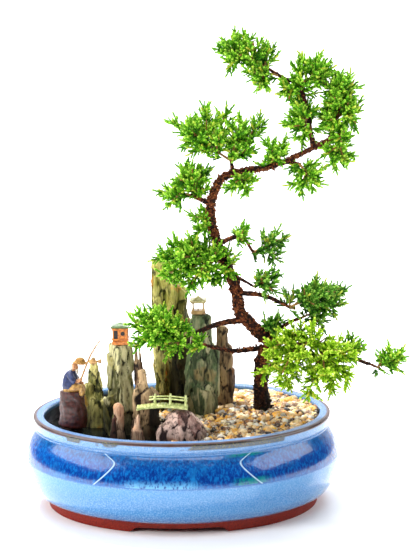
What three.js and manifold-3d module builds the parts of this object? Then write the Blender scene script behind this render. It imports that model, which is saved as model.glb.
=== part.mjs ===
// Juniper bonsai in an oval land-and-water pot, with standing rocks and small glazed clay figures.
// Millimetres, +Z up. The front of the pot faces -Y and +X is to the right.
import * as THREE from 'three';
import { mergeVertices } from 'three/addons/utils/BufferGeometryUtils.js';
import Module from 'manifold-3d';

const wasm = await Module();
wasm.setup();

// Driving dimensions of the pot. Half lengths are along X. The oval's half width is less by WAIST.
const SIDES = 36;
const WAIST = 34;
const RIM = { halfLength: 142, height: 88, width: 11 };
const BELLY = { halfLength: 151.5, height: 49 };
const FOOT = { halfLength: 129, height: 11, thickness: 9, recess: 6, archHalf: 38, archHeight: 5 };
const FLOOR = 14;
const WALL_GAP = 0.35;
const ROCK_GAP = 0.45;
const PARTITION = { thickness: 5, top: 78.6 };
const WATER_LEVEL = 72;
const SOIL_LEVEL = 79;
const DRAIN = { radius: 6, places: [[34, 0], [92, 0]] };

// Cutting tools reach this far past the pot, upwards and outwards.
const BEYOND = 200;

// Gravel: a bed of half-sunk pebbles on a thin layer.
const GRAVEL = { bed: 4, pitch: 12, rise: 3.2, spread: 1.2, mound: 5, moundReach: 60,
  stretch: 1.15, under: 3 };
const GRAVEL_FIELD = { left: -60, right: 150, front: -110, back: 110 };

// Tree: the trunk's foot in its hole, and the leafy shoots of the sprays.
const TREE_FOOT = [78, 0];
const TRUNK_HOLE = { radius: 12, depth: 16, gravelGap: 1.5 };
const SHOOT = { core: 1.0, leaf: 3.3, forward: 2.2, step: 4.6, tip: 3 };
const STEM_RADIUS = 1.5;
const TWIG_RADIUS = 1.1;
const CLEARANCE = 0.45;
const OWN_CLEARANCE = 0.15;
const SIDE_SHOOTS = 2.1;
const GOLDEN_TURN = Math.PI * (3 - Math.sqrt(5));
const FIRST_TURN = Math.PI / 2;
const LINE_CUT = 8;
const NECK = 4.6;
const WOOD_STEP = 5.2;
const WOOD_SHARE = 0.5;
const BARK_ROUGHNESS = 1.08;

// How many places are tried before a stem, a twig or a shoot is given up, and the random seeds.
const TRIES = { foot: 80, stem: 40, sites: 14, shoot: 220 };
const SEEDS = { rocks: 900, gravel: 77, trunk: 5, limbs: 40, sprays: 300 };

const WELD = 0.005;
const UP = new THREE.Vector3(0, 0, 1);

// Repeatable random numbers between 0 and 1.
function randomSource(seed) {
  let state = seed >>> 0;
  return () => {
    state = (state + 0x6d2b79f5) >>> 0;
    let t = state;
    t = Math.imul(t ^ (t >>> 15), t | 1);
    t ^= t + Math.imul(t ^ (t >>> 7), t | 61);
    return ((t ^ (t >>> 14)) >>> 0) / 4294967296;
  };
}

function vec(x, y, z) {
  return new THREE.Vector3(x, y, z);
}

// A closed solid from rings of points, with a fan at each end. A ring of one point is a tip.
function loft(rings) {
  const places = [];
  const faces = [];
  const starts = rings.map((ring) => {
    const start = places.length / 3;
    ring.forEach((p) => places.push(p.x, p.y, p.z));
    return start;
  });
  for (let r = 0; r + 1 < rings.length; r += 1) {
    const here = rings[r].length;
    const next = rings[r + 1].length;
    const sides = Math.max(here, next);
    for (let i = 0; i < sides; i += 1) {
      const j = (i + 1) % sides;
      const a = starts[r] + (here === 1 ? 0 : i);
      const b = starts[r] + (here === 1 ? 0 : j);
      const c = starts[r + 1] + (next === 1 ? 0 : j);
      const d = starts[r + 1] + (next === 1 ? 0 : i);
      if (here > 1) faces.push(a, b, next === 1 ? d : c);
      if (next > 1) faces.push(a, c, d);
    }
  }
  [0, rings.length - 1].forEach((r) => {
    const ring = rings[r];
    if (ring.length === 1) return;
    const middle = ring.reduce((sum, p) => sum.add(p), vec(0, 0, 0)).divideScalar(ring.length);
    const centre = places.length / 3;
    places.push(middle.x, middle.y, middle.z);
    for (let i = 0; i < ring.length; i += 1) {
      const a = starts[r] + i;
      const b = starts[r] + ((i + 1) % ring.length);
      if (r === 0) faces.push(centre, b, a);
      else faces.push(centre, a, b);
    }
  });
  const geometry = new THREE.BufferGeometry();
  geometry.setAttribute('position', new THREE.Float32BufferAttribute(places, 3));
  geometry.setIndex(faces);
  if (signedVolume(geometry) < 0) geometry.setIndex(faces.reverse());
  return geometry;
}

function signedVolume(geometry) {
  const place = geometry.getAttribute('position');
  const index = geometry.getIndex();
  const [a, b, c] = [vec(0, 0, 0), vec(0, 0, 0), vec(0, 0, 0)];
  let sum = 0;
  for (let i = 0; i < index.count; i += 3) {
    a.fromBufferAttribute(place, index.getX(i));
    b.fromBufferAttribute(place, index.getX(i + 1));
    c.fromBufferAttribute(place, index.getX(i + 2));
    sum += a.dot(b.cross(c)) / 6;
  }
  return sum;
}

// Booleans: three.js geometry in, three.js geometry out.
function solid(geometry) {
  const plain = geometry.clone();
  plain.deleteAttribute('normal');
  plain.deleteAttribute('uv');
  const merged = mergeVertices(plain, 1e-4);
  return new wasm.Manifold(new wasm.Mesh({
    numProp: 3,
    vertProperties: new Float32Array(merged.getAttribute('position').array),
    triVerts: new Uint32Array(merged.getIndex().array),
  }));
}

function bareGeometry(body) {
  const mesh = body.getMesh();
  const geometry = new THREE.BufferGeometry();
  geometry.setAttribute('position', new THREE.Float32BufferAttribute(Array.from(mesh.vertProperties), 3));
  geometry.setIndex(Array.from(mesh.triVerts));
  return geometry;
}

function largest(body) {
  return body.decompose().sort((p, q) => q.volume() - p.volume())[0];
}

// Corners closer than WELD become one, and the triangles and flaps between them go.
function geometryOf(body) {
  const welded = mergeVertices(bareGeometry(body), WELD);
  const index = welded.getIndex().array;
  const kept = [];
  for (let i = 0; i < index.length; i += 3) {
    const [a, b, c] = [index[i], index[i + 1], index[i + 2]];
    if (a !== b && b !== c && c !== a) kept.push(a, b, c);
  }
  welded.setIndex(kept);
  return bareGeometry(largest(solid(welded)));
}

function joined(geometries) {
  return geometries.map(solid).reduce((sum, next) => sum.add(next));
}

function finish(color, roughness, metalness = 0) {
  return new THREE.MeshStandardMaterial({ color, roughness, metalness, flatShading: true });
}

function piece(name, geometry, material) {
  const mesh = new THREE.Mesh(geometry, material);
  mesh.name = name;
  return mesh;
}

// An oval ring of the pot at a height, and a solid through several of them.
function ovalRing(halfLength, z) {
  const ring = [];
  for (let i = 0; i < SIDES; i += 1) {
    const angle = (2 * Math.PI * i) / SIDES;
    ring.push(vec(halfLength * Math.cos(angle), (halfLength - WAIST) * Math.sin(angle), z));
  }
  return ring;
}

function ovalSolid(profile) {
  return loft(profile.map(([halfLength, z]) => ovalRing(halfLength, z)));
}

// A prism from a plan outline of [x, y] points.
function prism(outline, low, high) {
  const shape = new THREE.Shape(outline.map(([x, y]) => new THREE.Vector2(x, y)));
  const geometry = new THREE.ExtrudeGeometry(shape, { depth: high - low, bevelEnabled: false });
  return geometry.translate(0, 0, low);
}

// A round peg or hole of few sides, standing on the plane z = low.
function roundPrism(x, y, radius, low, high, sides = 12) {
  const geometry = new THREE.CylinderGeometry(radius, radius, high - low, sides);
  return geometry.rotateX(Math.PI / 2).translate(x, y, (low + high) / 2);
}

// Inside of the pot from its floor to its rim, drawn in by a gap for what fills it.
function inside(gap, top) {
  const lip = RIM.halfLength - RIM.width;
  const profile = [[lip - 1, FLOOR + gap], [BELLY.halfLength - 12, BELLY.height - 14]];
  profile.push([BELLY.halfLength - 11, BELLY.height + 4], [lip, BELLY.height + 20]);
  const kept = profile.filter(([, z]) => z < top);
  return ovalSolid([...kept, [lip, top]].map(([halfLength, z]) => [halfLength - gap, z]));
}

// The dividing wall's middle line, from front to back, and the plan on each side of it.
const DIVIDE = [[-12, -130], [-12, -34], [-37, -6], [-37, 130]];

function beside(direction, gap) {
  const edge = DIVIDE.map(([x, y]) => [x + direction * (PARTITION.thickness / 2 + gap), y]);
  const far = direction * BEYOND;
  return [...edge, [far, edge[3][1]], [far, edge[0][1]]];
}

function potGeometry() {
  const shell = ovalSolid([
    [FOOT.halfLength, 0], [FOOT.halfLength + 1.5, FOOT.height], [BELLY.halfLength - 15, FOOT.height + 1],
    [BELLY.halfLength - 8.5, 20], [BELLY.halfLength - 2, 38], [BELLY.halfLength, BELLY.height],
    [BELLY.halfLength - 1.5, 57], [BELLY.halfLength - 5, 66], [RIM.halfLength - 1.5, 74],
    [RIM.halfLength - 2.5, 77], [RIM.halfLength - 0.5, 80], [RIM.halfLength, 86.5],
    [RIM.halfLength - 1.2, RIM.height],
  ]);
  const hollow = inside(0, RIM.height + 5);
  const recess = ovalSolid([
    [FOOT.halfLength - FOOT.thickness, -5], [FOOT.halfLength - FOOT.thickness, FOOT.recess],
  ]);
  const arch = new THREE.BoxGeometry(2 * FOOT.archHalf, 2 * BEYOND, 2 * FOOT.archHeight);
  const wall = [...beside(-1, 0).slice(0, 4), ...beside(1, 0).slice(0, 4).reverse()];
  const divider = solid(prism(wall, FLOOR - 2, PARTITION.top)).intersect(solid(inside(-1.5, PARTITION.top)));
  let body = solid(shell).subtract(solid(hollow)).add(divider);
  body = body.subtract(solid(recess)).subtract(solid(arch));
  DRAIN.places.forEach(([x, y]) => {
    body = body.subtract(solid(roundPrism(x, y, DRAIN.radius, -1, FLOOR + 5)));
  });
  return geometryOf(body);
}

// A standing rock: an angular column whose outline is drawn in and shifted from ring to ring, up to
// a broken top.
function rockRadius(rock, angle, grow) {
  const ripple = 1 + 0.1 * Math.sin(3 * angle + rock.seed) + 0.07 * Math.sin(5 * angle + 2.3 * rock.seed);
  const squareness = 2.8;
  const c = Math.abs(Math.cos(angle) / rock.halfX) ** squareness;
  const s = Math.abs(Math.sin(angle) / rock.halfY) ** squareness;
  return (ripple * 0.94) / (c + s) ** (1 / squareness) + grow;
}

function rockOutline(rock, grow = 0) {
  const outline = [];
  for (let i = 0; i < rock.sides; i += 1) {
    const angle = (2 * Math.PI * (i + 0.5)) / rock.sides;
    const reach = rockRadius(rock, angle, grow);
    outline.push([rock.x + reach * Math.cos(angle), rock.y + reach * Math.sin(angle)]);
  }
  return outline;
}

// The lower part, below rock.plain, keeps its outline, so that it fits its hole in water or gravel.
function rockGeometry(rock) {
  const random = randomSource(SEEDS.rocks + rock.seed);
  const outline = rockOutline(rock);
  const rings = [outline.map(([x, y]) => vec(x, y, rock.foot))];
  rings.push(outline.map(([x, y]) => vec(x, y, rock.plain)));
  const grooves = outline.map(() => 0.92 + 0.12 * random());
  for (let level = 1; level <= rock.levels; level += 1) {
    const rise = level / rock.levels;
    const taper = 1 - (1 - rock.crown) * rise ** rock.taperPower;
    const bulge = 1 + 0.06 * Math.sin(5 * rise + rock.seed);
    rings.push(outline.map(([x, y], i) => {
      const scale = Math.min(1, taper * bulge * grooves[i] + 0.08 * (random() - 0.5));
      const broken = level === rock.levels ? rock.ragged * (random() - 0.5) : 2.5 * (random() - 0.5);
      const z = rock.plain + (rock.top - rock.ragged / 2 - rock.plain) * rise + broken;
      const px = rock.x + rock.lean[0] * rise + (x - rock.x) * scale;
      const py = rock.y + rock.lean[1] * rise + (y - rock.y) * scale;
      return vec(px, py, z);
    }));
  }
  return loft(rings);
}

const POOL_FOOT = FLOOR + WALL_GAP;
const LAND_FOOT = SOIL_LEVEL + WALL_GAP;
const inPool = { foot: POOL_FOOT, plain: WATER_LEVEL + 2 };
const onLand = { foot: LAND_FOOT, plain: SOIL_LEVEL + 9 };
const slab = { sides: 10, levels: 5, crown: 0.62, taperPower: 1.6, ragged: 7 };

const ROCKS = [
  { ...slab, ...onLand, name: 'rock_tall', x: -9.5, y: 26, halfX: 20.5, halfY: 12.5, top: 232,
    crown: 0.9, levels: 7, lean: [2, 0], seed: 1, color: 0x9a9a4e },
  { ...slab, ...onLand, name: 'rock_right', x: 18.5, y: 1, halfX: 17, halfY: 9.5, top: 182,
    crown: 0.82, levels: 6, lean: [-1, 0], ragged: 4, seed: 2, color: 0x8c8a66 },
  { ...slab, ...onLand, name: 'rock_brown', x: 41, y: 25, halfX: 8.5, halfY: 9, top: 166,
    crown: 0.45, lean: [-3, 0], seed: 3, color: 0x7d6a4e },
  { ...slab, ...inPool, name: 'rock_pavilion', x: -56, y: -19, halfX: 13.5, halfY: 11.5, top: 158,
    crown: 0.88, lean: [1, 2], ragged: 1.2, seed: 4, color: 0xa6a583 },
  { ...slab, ...inPool, name: 'rock_left', x: -85, y: 9, halfX: 12.5, halfY: 10, top: 138,
    crown: 0.42, lean: [5, 0], seed: 5, color: 0x8f9160 },
  { ...slab, ...inPool, name: 'rock_mid', x: -31.5, y: -46.5, halfX: 14, halfY: 8, top: 144,
    crown: 0.72, lean: [1, 2], seed: 6, color: 0x77705a },
  { ...slab, ...inPool, name: 'rock_back', x: -35.5, y: -28, halfX: 6.2, halfY: 6.5, top: 166,
    crown: 0.75, lean: [0, 0], seed: 7, color: 0x8b7d5c },
  { ...slab, ...inPool, name: 'rock_rose', x: -54, y: -56.5, halfX: 7, halfY: 6, top: 112,
    crown: 0.55, levels: 3, lean: [0, 2], ragged: 3, seed: 8, color: 0xb28a7c },
  { ...slab, ...inPool, name: 'rock_pier', x: -37.5, y: -72, halfX: 9, halfY: 7.5, top: 108,
    crown: 0.8, levels: 3, lean: [-1, 0], ragged: 1, seed: 9, color: 0xb9958a },
  { ...slab, ...inPool, name: 'rock_low', x: -57.5, y: -73, halfX: 7.5, halfY: 6, top: 105,
    crown: 0.5, levels: 3, lean: [2, 1], ragged: 3, seed: 10, color: 0x6b5a48 },
  { ...slab, ...inPool, name: 'rock_fisherman', x: -99, y: -40, halfX: 11.5, halfY: 10, top: 86,
    crown: 0.9, levels: 2, lean: [0, 0], ragged: 0.6, seed: 11, color: 0x3d2a22 },
  { ...slab, ...onLand, name: 'boulder', x: 3.5, y: -73, halfX: 24, halfY: 14, top: 109.5,
    crown: 0.55, levels: 3, lean: [-3, 2], ragged: 2.4, seed: 12, color: 0x8b7468, sides: 12 },
];

function poolRocks() {
  return ROCKS.filter((rock) => rock.foot === POOL_FOOT);
}

function landRocks() {
  return ROCKS.filter((rock) => rock.foot === LAND_FOOT);
}

function waterGeometry() {
  let body = solid(inside(WALL_GAP, WATER_LEVEL)).intersect(solid(prism(beside(-1, WALL_GAP), 0, BEYOND)));
  poolRocks().forEach((rock) => {
    body = body.subtract(solid(prism(rockOutline(rock, ROCK_GAP), 0, BEYOND)));
  });
  return geometryOf(body);
}

function soilGeometry() {
  const body = solid(inside(WALL_GAP, SOIL_LEVEL)).intersect(solid(prism(beside(1, WALL_GAP), 0, BEYOND)));
  const bottom = SOIL_LEVEL - TRUNK_HOLE.depth;
  const hole = roundPrism(...TREE_FOOT, TRUNK_HOLE.radius, bottom, BEYOND);
  return geometryOf(body.subtract(solid(hole)));
}

// The gravel's upper face is drawn as one sheet: a low hexagonal net whose centres stand up as pebbles.
function gravelHeight(x, y) {
  const away = Math.hypot(x - TREE_FOOT[0], y - TREE_FOOT[1]) / GRAVEL.moundReach;
  return SOIL_LEVEL + GRAVEL.bed + GRAVEL.mound * Math.exp(-(away ** 2));
}

function gravelGeometry() {
  const random = randomSource(SEEDS.gravel);
  const step = GRAVEL.pitch;
  const rowStep = step * Math.sin(Math.PI / 3);
  const { left, right, front, back } = GRAVEL_FIELD;
  const columns = Math.ceil((right - left) / (step / 2));
  const rows = Math.ceil((back - front) / rowStep);
  const places = [];
  const faces = [];
  const low = SOIL_LEVEL + WALL_GAP;
  for (let r = 0; r <= rows; r += 1) {
    for (let c = 0; c <= columns; c += 1) {
      const crest = c % 3 === (r % 2 ? 2 : 0);
      const shake = crest ? GRAVEL.spread : GRAVEL.spread / 2;
      const x = left + ((c * step) / 2) * GRAVEL.stretch + shake * (random() - 0.5) * 2;
      const y = front + r * rowStep + (c % 2 ? rowStep / 2 : 0) + shake * (random() - 0.5) * 2;
      const z = gravelHeight(x, y) + (crest ? GRAVEL.rise * (0.7 + 0.6 * random()) : 0);
      places.push(x, y, z);
    }
  }
  const at = (r, c) => r * (columns + 1) + c;
  for (let r = 0; r < rows; r += 1) {
    for (let c = 0; c < columns; c += 1) {
      const [a, b, d, e] = [at(r, c), at(r, c + 1), at(r + 1, c + 1), at(r + 1, c)];
      if (c % 2) faces.push(a, b, e, b, d, e);
      else faces.push(a, b, d, a, d, e);
    }
  }
  const edge = [];
  for (let c = 0; c < columns; c += 1) edge.push(at(0, c));
  for (let r = 0; r < rows; r += 1) edge.push(at(r, columns));
  for (let c = columns; c > 0; c -= 1) edge.push(at(rows, c));
  for (let r = rows; r > 0; r -= 1) edge.push(at(r, 0));
  const under = places.length / 3;
  edge.forEach((v) => places.push(places[3 * v], places[3 * v + 1], low - GRAVEL.under));
  const centre = places.length / 3;
  places.push((left + right) / 2, (front + back) / 2, low - GRAVEL.under);
  edge.forEach((v, i) => {
    const next = (i + 1) % edge.length;
    faces.push(v, under + i, under + next, v, under + next, edge[next]);
    faces.push(centre, under + next, under + i);
  });
  const sheet = new THREE.BufferGeometry();
  sheet.setAttribute('position', new THREE.Float32BufferAttribute(places, 3));
  sheet.setIndex(faces);
  const lip = RIM.halfLength - RIM.width - WALL_GAP;
  let body = solid(sheet).intersect(solid(ovalSolid([[lip, low], [lip, BEYOND]])));
  body = body.intersect(solid(prism(beside(1, WALL_GAP), 0, BEYOND)));
  landRocks().forEach((rock) => {
    body = body.subtract(solid(prism(rockOutline(rock, ROCK_GAP), 0, BEYOND)));
  });
  const hole = roundPrism(...TREE_FOOT, TRUNK_HOLE.radius + TRUNK_HOLE.gravelGap, 0, BEYOND);
  return geometryOf(largest(body.subtract(solid(hole))));
}

// The smooth curve through a limb's points of [x, y, z, radius].
function limbCurve(points) {
  return new THREE.CatmullRomCurve3(points.map(([x, y, z]) => vec(x, y, z)), false, 'centripetal');
}

// A limb's radius at a share of its length.
function limbRadius(points, curve, along) {
  const parameter = curve.getUtoTmapping(along) * (points.length - 1);
  const segment = Math.min(Math.floor(parameter), points.length - 2);
  return THREE.MathUtils.lerp(points[segment][3], points[segment + 1][3], parameter - segment);
}

// A limb of the tree: a tapering tube through its points, rough by a seeded draw.
function limbRings(points, sides, step, roughness, seed) {
  const random = randomSource(seed);
  const curve = limbCurve(points);
  const count = Math.max(2, Math.round(curve.getLength() / step));
  const frames = curve.computeFrenetFrames(count, false);
  const rings = [];
  for (let i = 0; i <= count; i += 1) {
    const along = i / count;
    const radius = limbRadius(points, curve, along);
    const centre = curve.getPointAt(along);
    const ring = [];
    for (let s = 0; s < sides; s += 1) {
      const angle = (2 * Math.PI * (s + (i % 2) / 2)) / sides;
      const reach = radius * (1 + roughness * (random() - 0.5));
      ring.push(centre.clone()
        .addScaledVector(frames.normals[i], reach * Math.cos(angle))
        .addScaledVector(frames.binormals[i], reach * Math.sin(angle)));
    }
    rings.push(ring);
  }
  return rings;
}

// Gives each point of a route a radius that tapers evenly over the route's length.
function tapered(route, first, last) {
  const lengths = [0];
  route.slice(1).forEach((point, i) => {
    lengths.push(lengths[i] + vec(...point).distanceTo(vec(...route[i])));
  });
  const total = lengths[lengths.length - 1];
  return route.map((point, i) => [...point, THREE.MathUtils.lerp(first, last, lengths[i] / total)]);
}

// The trunk's radius: an even taper, and a flare that dies out above the soil.
const TRUNK = { base: 7.4, tip: 1.5, flare: 3, flareTop: 102, flareRise: 20 };

// The wood of the tree, one grown piece. A route has only the bends that its shape needs.
const TRUNK_ROUTE = [
  [...TREE_FOOT, 64.5], [...TREE_FOOT, 82], [76, 0, 110], [78, -2, 140], [86, -5, 152], [70, -8, 170],
  [57, -8, 185], [52, -2, 210], [35, 6, 252], [30, 8, 280], [40, 4, 308], [60, 0, 316], [90, -5, 322],
  [125, -10, 338], [153, -12, 353],
];
const TRUNK_LINE = tapered(TRUNK_ROUTE, TRUNK.base, TRUNK.tip).map(([x, y, z, radius]) => {
  const flare = THREE.MathUtils.clamp((TRUNK.flareTop - z) / TRUNK.flareRise, 0, 1);
  return [x, y, z, radius + TRUNK.flare * flare];
});
const LIMBS = {
  corner: tapered([[80, -2, 144], [70, -4, 136]], 4, 2),
  upper: tapered([[125, -10, 338], [120, -10, 370], [113, -9, 394], [98, -8, 402], [82, -8, 412]], 2.2, 1.3),
  stem_right: tapered([[140, -11, 346], [148, -12, 374]], 1.8, 1.2),
  left_upper: tapered([[60, -8, 178], [35, -20, 176], [5, -30, 166]], 3, 1.4),
  left_lower: tapered([[80, -4, 150], [50, -16, 150], [20, -30, 160]], 3, 1.4),
  right_upper: tapered([[37, 5, 248], [58, 9, 254], [70, 12, 238]], 2.6, 1.2),
  right_thin: tapered([[50, 0, 220], [70, -12, 210]], 1.8, 1),
  right_middle: tapered([[54, -4, 203], [80, -7, 200], [103, -12, 190]], 2.8, 1.2),
  right_stub: tapered([[84, -6, 158], [100, -4, 172], [115, -2, 178]], 2.6, 1.3),
  right_lower: tapered([[84, -5, 154], [110, -8, 160], [150, -10, 145], [185, -12, 132]], 3.4, 1.1),
  front: tapered([[98, -7, 158], [115, -22, 165]], 2.2, 1.4),
  crown_left: tapered([[31, 8, 285], [12, 6, 294]], 2.8, 1.3),
  crown_top: tapered([[52, 1, 314], [50, 2, 326]], 2.4, 1.4),
  below: tapered([[98, -6, 325], [112, -9, 324]], 1.8, 1.1),
};
const WOOD = { trunk: TRUNK_LINE, ...LIMBS };

function trunkGeometry() {
  const parts = [loft(limbRings(TRUNK_LINE, 7, 13, 0.16, SEEDS.trunk))];
  Object.values(LIMBS).forEach((points, i) => {
    parts.push(loft(limbRings(points, 4, 12, 0.12, SEEDS.limbs + i)));
  });
  return geometryOf(joined(parts));
}

// Space that is taken: slim capsules with the node that owns them.
const taken = [];

function takeLine(points, owner) {
  const curve = limbCurve(points);
  const cuts = Math.ceil(curve.getLength() / LINE_CUT);
  for (let i = 0; i < cuts; i += 1) {
    const [start, end] = [i / cuts, (i + 1) / cuts];
    const thickest = Math.max(limbRadius(points, curve, start), limbRadius(points, curve, end));
    const radius = thickest * BARK_ROUGHNESS;
    taken.push({ a: curve.getPointAt(start), b: curve.getPointAt(end), radius, owner });
  }
}

function lineGap(p, q, a, b) {
  const steps = 6;
  const other = new THREE.Line3(a, b);
  const near = vec(0, 0, 0);
  let least = Infinity;
  for (let i = 0; i <= steps; i += 1) {
    const point = p.clone().lerp(q, i / steps);
    other.closestPointToPoint(point, true, near);
    least = Math.min(least, near.distanceTo(point));
  }
  return least;
}

function insideRock(point, reach) {
  return ROCKS.some((rock) => {
    if (point.z > rock.top + reach + 2 || point.z < rock.foot) return false;
    const [dx, dy] = [point.x - rock.x, point.y - rock.y];
    return Math.hypot(dx, dy) < rockRadius(rock, Math.atan2(dy, dx), reach + 2 + Math.abs(rock.lean[0]));
  });
}

function isFree(piece, ids) {
  const { a, b, radius, leafy } = piece;
  if ([a, a.clone().lerp(b, 0.5), b].some((point) => insideRock(point, radius))) return false;
  return taken.every((line) => {
    const own = line.owner === ids.owner;
    if (own && line.twig === ids.twig) return true;
    const kin = own && (line.twig === ids.parent || line.parent === ids.parent);
    if (kin && !leafy && !line.leafy) return true;
    const need = line.radius + radius + (own ? OWN_CLEARANCE : CLEARANCE);
    if (line.a.distanceTo(a) > need + line.a.distanceTo(line.b) + a.distanceTo(b)) return true;
    return lineGap(a, b, line.a, line.b) > need && lineGap(line.a, line.b, a, b) > need;
  });
}

// The skin of a spray. It starts as a square stem, and every twig and shoot grows out of a
// four-cornered face of the wood below it, so the whole spray is one closed surface.
class Skin {
  constructor() {
    this.points = [];
    this.faces = [];
    this.open = [];
  }

  add(point) {
    this.points.push(point);
    return this.points.length - 1;
  }

  centre(quad) {
    return quad.reduce((sum, i) => sum.add(this.points[i]), vec(0, 0, 0)).divideScalar(quad.length);
  }

  outward(quad) {
    const [a, b, c, d] = quad.map((i) => this.points[i]);
    return c.clone().sub(a).cross(d.clone().sub(b)).normalize();
  }

  fill([a, b, c, d]) {
    this.faces.push(a, b, c, a, c, d);
  }

  // The direction of corner 0 of a ring round an axis that follows a face's corners with the least twist.
  reference(quad, axis) {
    const middle = this.centre(quad);
    const flat = quad.map((i) => this.points[i].clone().sub(middle).projectOnPlane(axis));
    const u = flat[0].clone().normalize();
    const v = axis.clone().cross(u);
    let turn = 0;
    flat.forEach((corner, j) => {
      const angle = Math.atan2(corner.dot(v), corner.dot(u)) - (j * Math.PI) / 2;
      turn += Math.atan2(Math.sin(angle), Math.cos(angle)) / flat.length;
    });
    return u.multiplyScalar(Math.cos(turn)).addScaledVector(v, Math.sin(turn));
  }

  // Grows a tube from a face through stations of { centre, axis, wood, leaf }, to a point.
  grow(quad, stations, end, twig) {
    let base = quad;
    let u = null;
    stations.forEach((station, i) => {
      u = (u ? u.projectOnPlane(station.axis).normalize() : this.reference(quad, station.axis));
      const v = station.axis.clone().cross(u);
      const ring = [0, 1, 2, 3].map((j) => {
        const isTip = station.leaf > 0 && (i + j) % 2 === 0;
        const reach = isTip ? station.leaf : station.wood;
        return this.add(station.centre.clone()
          .addScaledVector(u, reach * Math.cos((j * Math.PI) / 2))
          .addScaledVector(v, reach * Math.sin((j * Math.PI) / 2))
          .addScaledVector(station.axis, isTip ? SHOOT.forward : 0));
      });
      ring.forEach((corner, j) => {
        const next = (j + 1) % 4;
        const side = [base[j], base[next], ring[next], corner];
        if (station.bears) this.open.push({ quad: side, axis: station.axis, twig });
        else this.fill(side);
      });
      base = ring;
    });
    const tip = this.add(end);
    base.forEach((corner, j) => this.faces.push(corner, base[(j + 1) % 4], tip));
  }

  geometry() {
    this.open.forEach(({ quad }) => this.fill(quad));
    const geometry = new THREE.BufferGeometry();
    geometry.setFromPoints(this.points);
    geometry.setIndex(this.faces);
    return geometry;
  }
}

// Stations of a twig along a curve: bare wood first, then whorls of awl-shaped leaves, each pair
// turned from the last.
function twigStations(curve, woodLength, radius, bears, random) {
  const length = curve.getLength();
  const stations = [];
  const addStation = (along, wood, leaf, bearing) => {
    const [centre, axis] = [curve.getPointAt(along), curve.getTangentAt(along)];
    stations.push({ centre, axis, wood, leaf, bears: bearing });
  };
  const woodSteps = Math.max(1, Math.round(woodLength / WOOD_STEP));
  for (let i = 1; i <= woodSteps; i += 1) {
    const along = (woodLength * i) / woodSteps / length;
    const wood = THREE.MathUtils.lerp(radius, SHOOT.core, i / woodSteps);
    addStation(along, wood, 0, bears);
  }
  const leafLength = length - woodLength - SHOOT.tip;
  const whorls = Math.max(2, Math.round(leafLength / SHOOT.step));
  for (let i = 0; i < whorls; i += 1) {
    const along = (woodLength + 1.6 + (leafLength * i) / whorls) / length;
    const slim = 1 - 0.3 * (i / whorls) ** 2;
    const leaf = SHOOT.leaf * slim * (0.9 + 0.15 * random());
    addStation(along, SHOOT.core * slim, leaf, false);
  }
  return stations;
}

function curvePieces(curve, woodLength) {
  const length = curve.getLength();
  const wood = woodLength / length;
  const at = (share) => curve.getPointAt(share);
  return [
    { a: at(0), b: at(wood / 2), radius: TWIG_RADIUS, leafy: false },
    { a: at(wood / 2), b: at(wood), radius: TWIG_RADIUS, leafy: false },
    { a: at(wood), b: at((1 + wood) / 2), radius: SHOOT.leaf, leafy: true },
    { a: at((1 + wood) / 2), b: at(1), radius: SHOOT.leaf, leafy: true },
  ];
}

// Grows one twig from a bearing face if its whole way is free.
function tryTwig(skin, site, direction, end, woodLength, radius, bears, ids, random) {
  const start = skin.centre(site.quad);
  const reach = start.distanceTo(end);
  const knee = start.clone().addScaledVector(direction, reach * 0.4);
  const curve = new THREE.QuadraticBezierCurve3(start, knee, end);
  const pieces = curvePieces(curve, woodLength);
  if (!pieces.every((line) => isFree(line, ids))) return false;
  pieces.forEach((line) => taken.push({ ...line, ...ids }));
  skin.grow(site.quad, twigStations(curve, woodLength, radius, bears, random), end, ids.twig);
  return true;
}

function takeSite(skin, site) {
  skin.open.splice(skin.open.indexOf(site), 1);
}

// The tips of a pad: evenly spaced across it and turned round it by the golden angle, on the surface
// of an ellipsoid of the pad's half sizes.
function padTips({ centre, half, tips }) {
  return Array.from({ length: tips }, (_, i) => {
    const across = 1 - (2 * i + 1) / tips;
    const round = Math.sqrt(1 - across * across);
    const turn = FIRST_TURN + i * GOLDEN_TURN;
    const way = vec(across, round * Math.cos(turn), round * Math.sin(turn));
    return vec(...centre).add(way.multiply(vec(...half)));
  });
}

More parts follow.
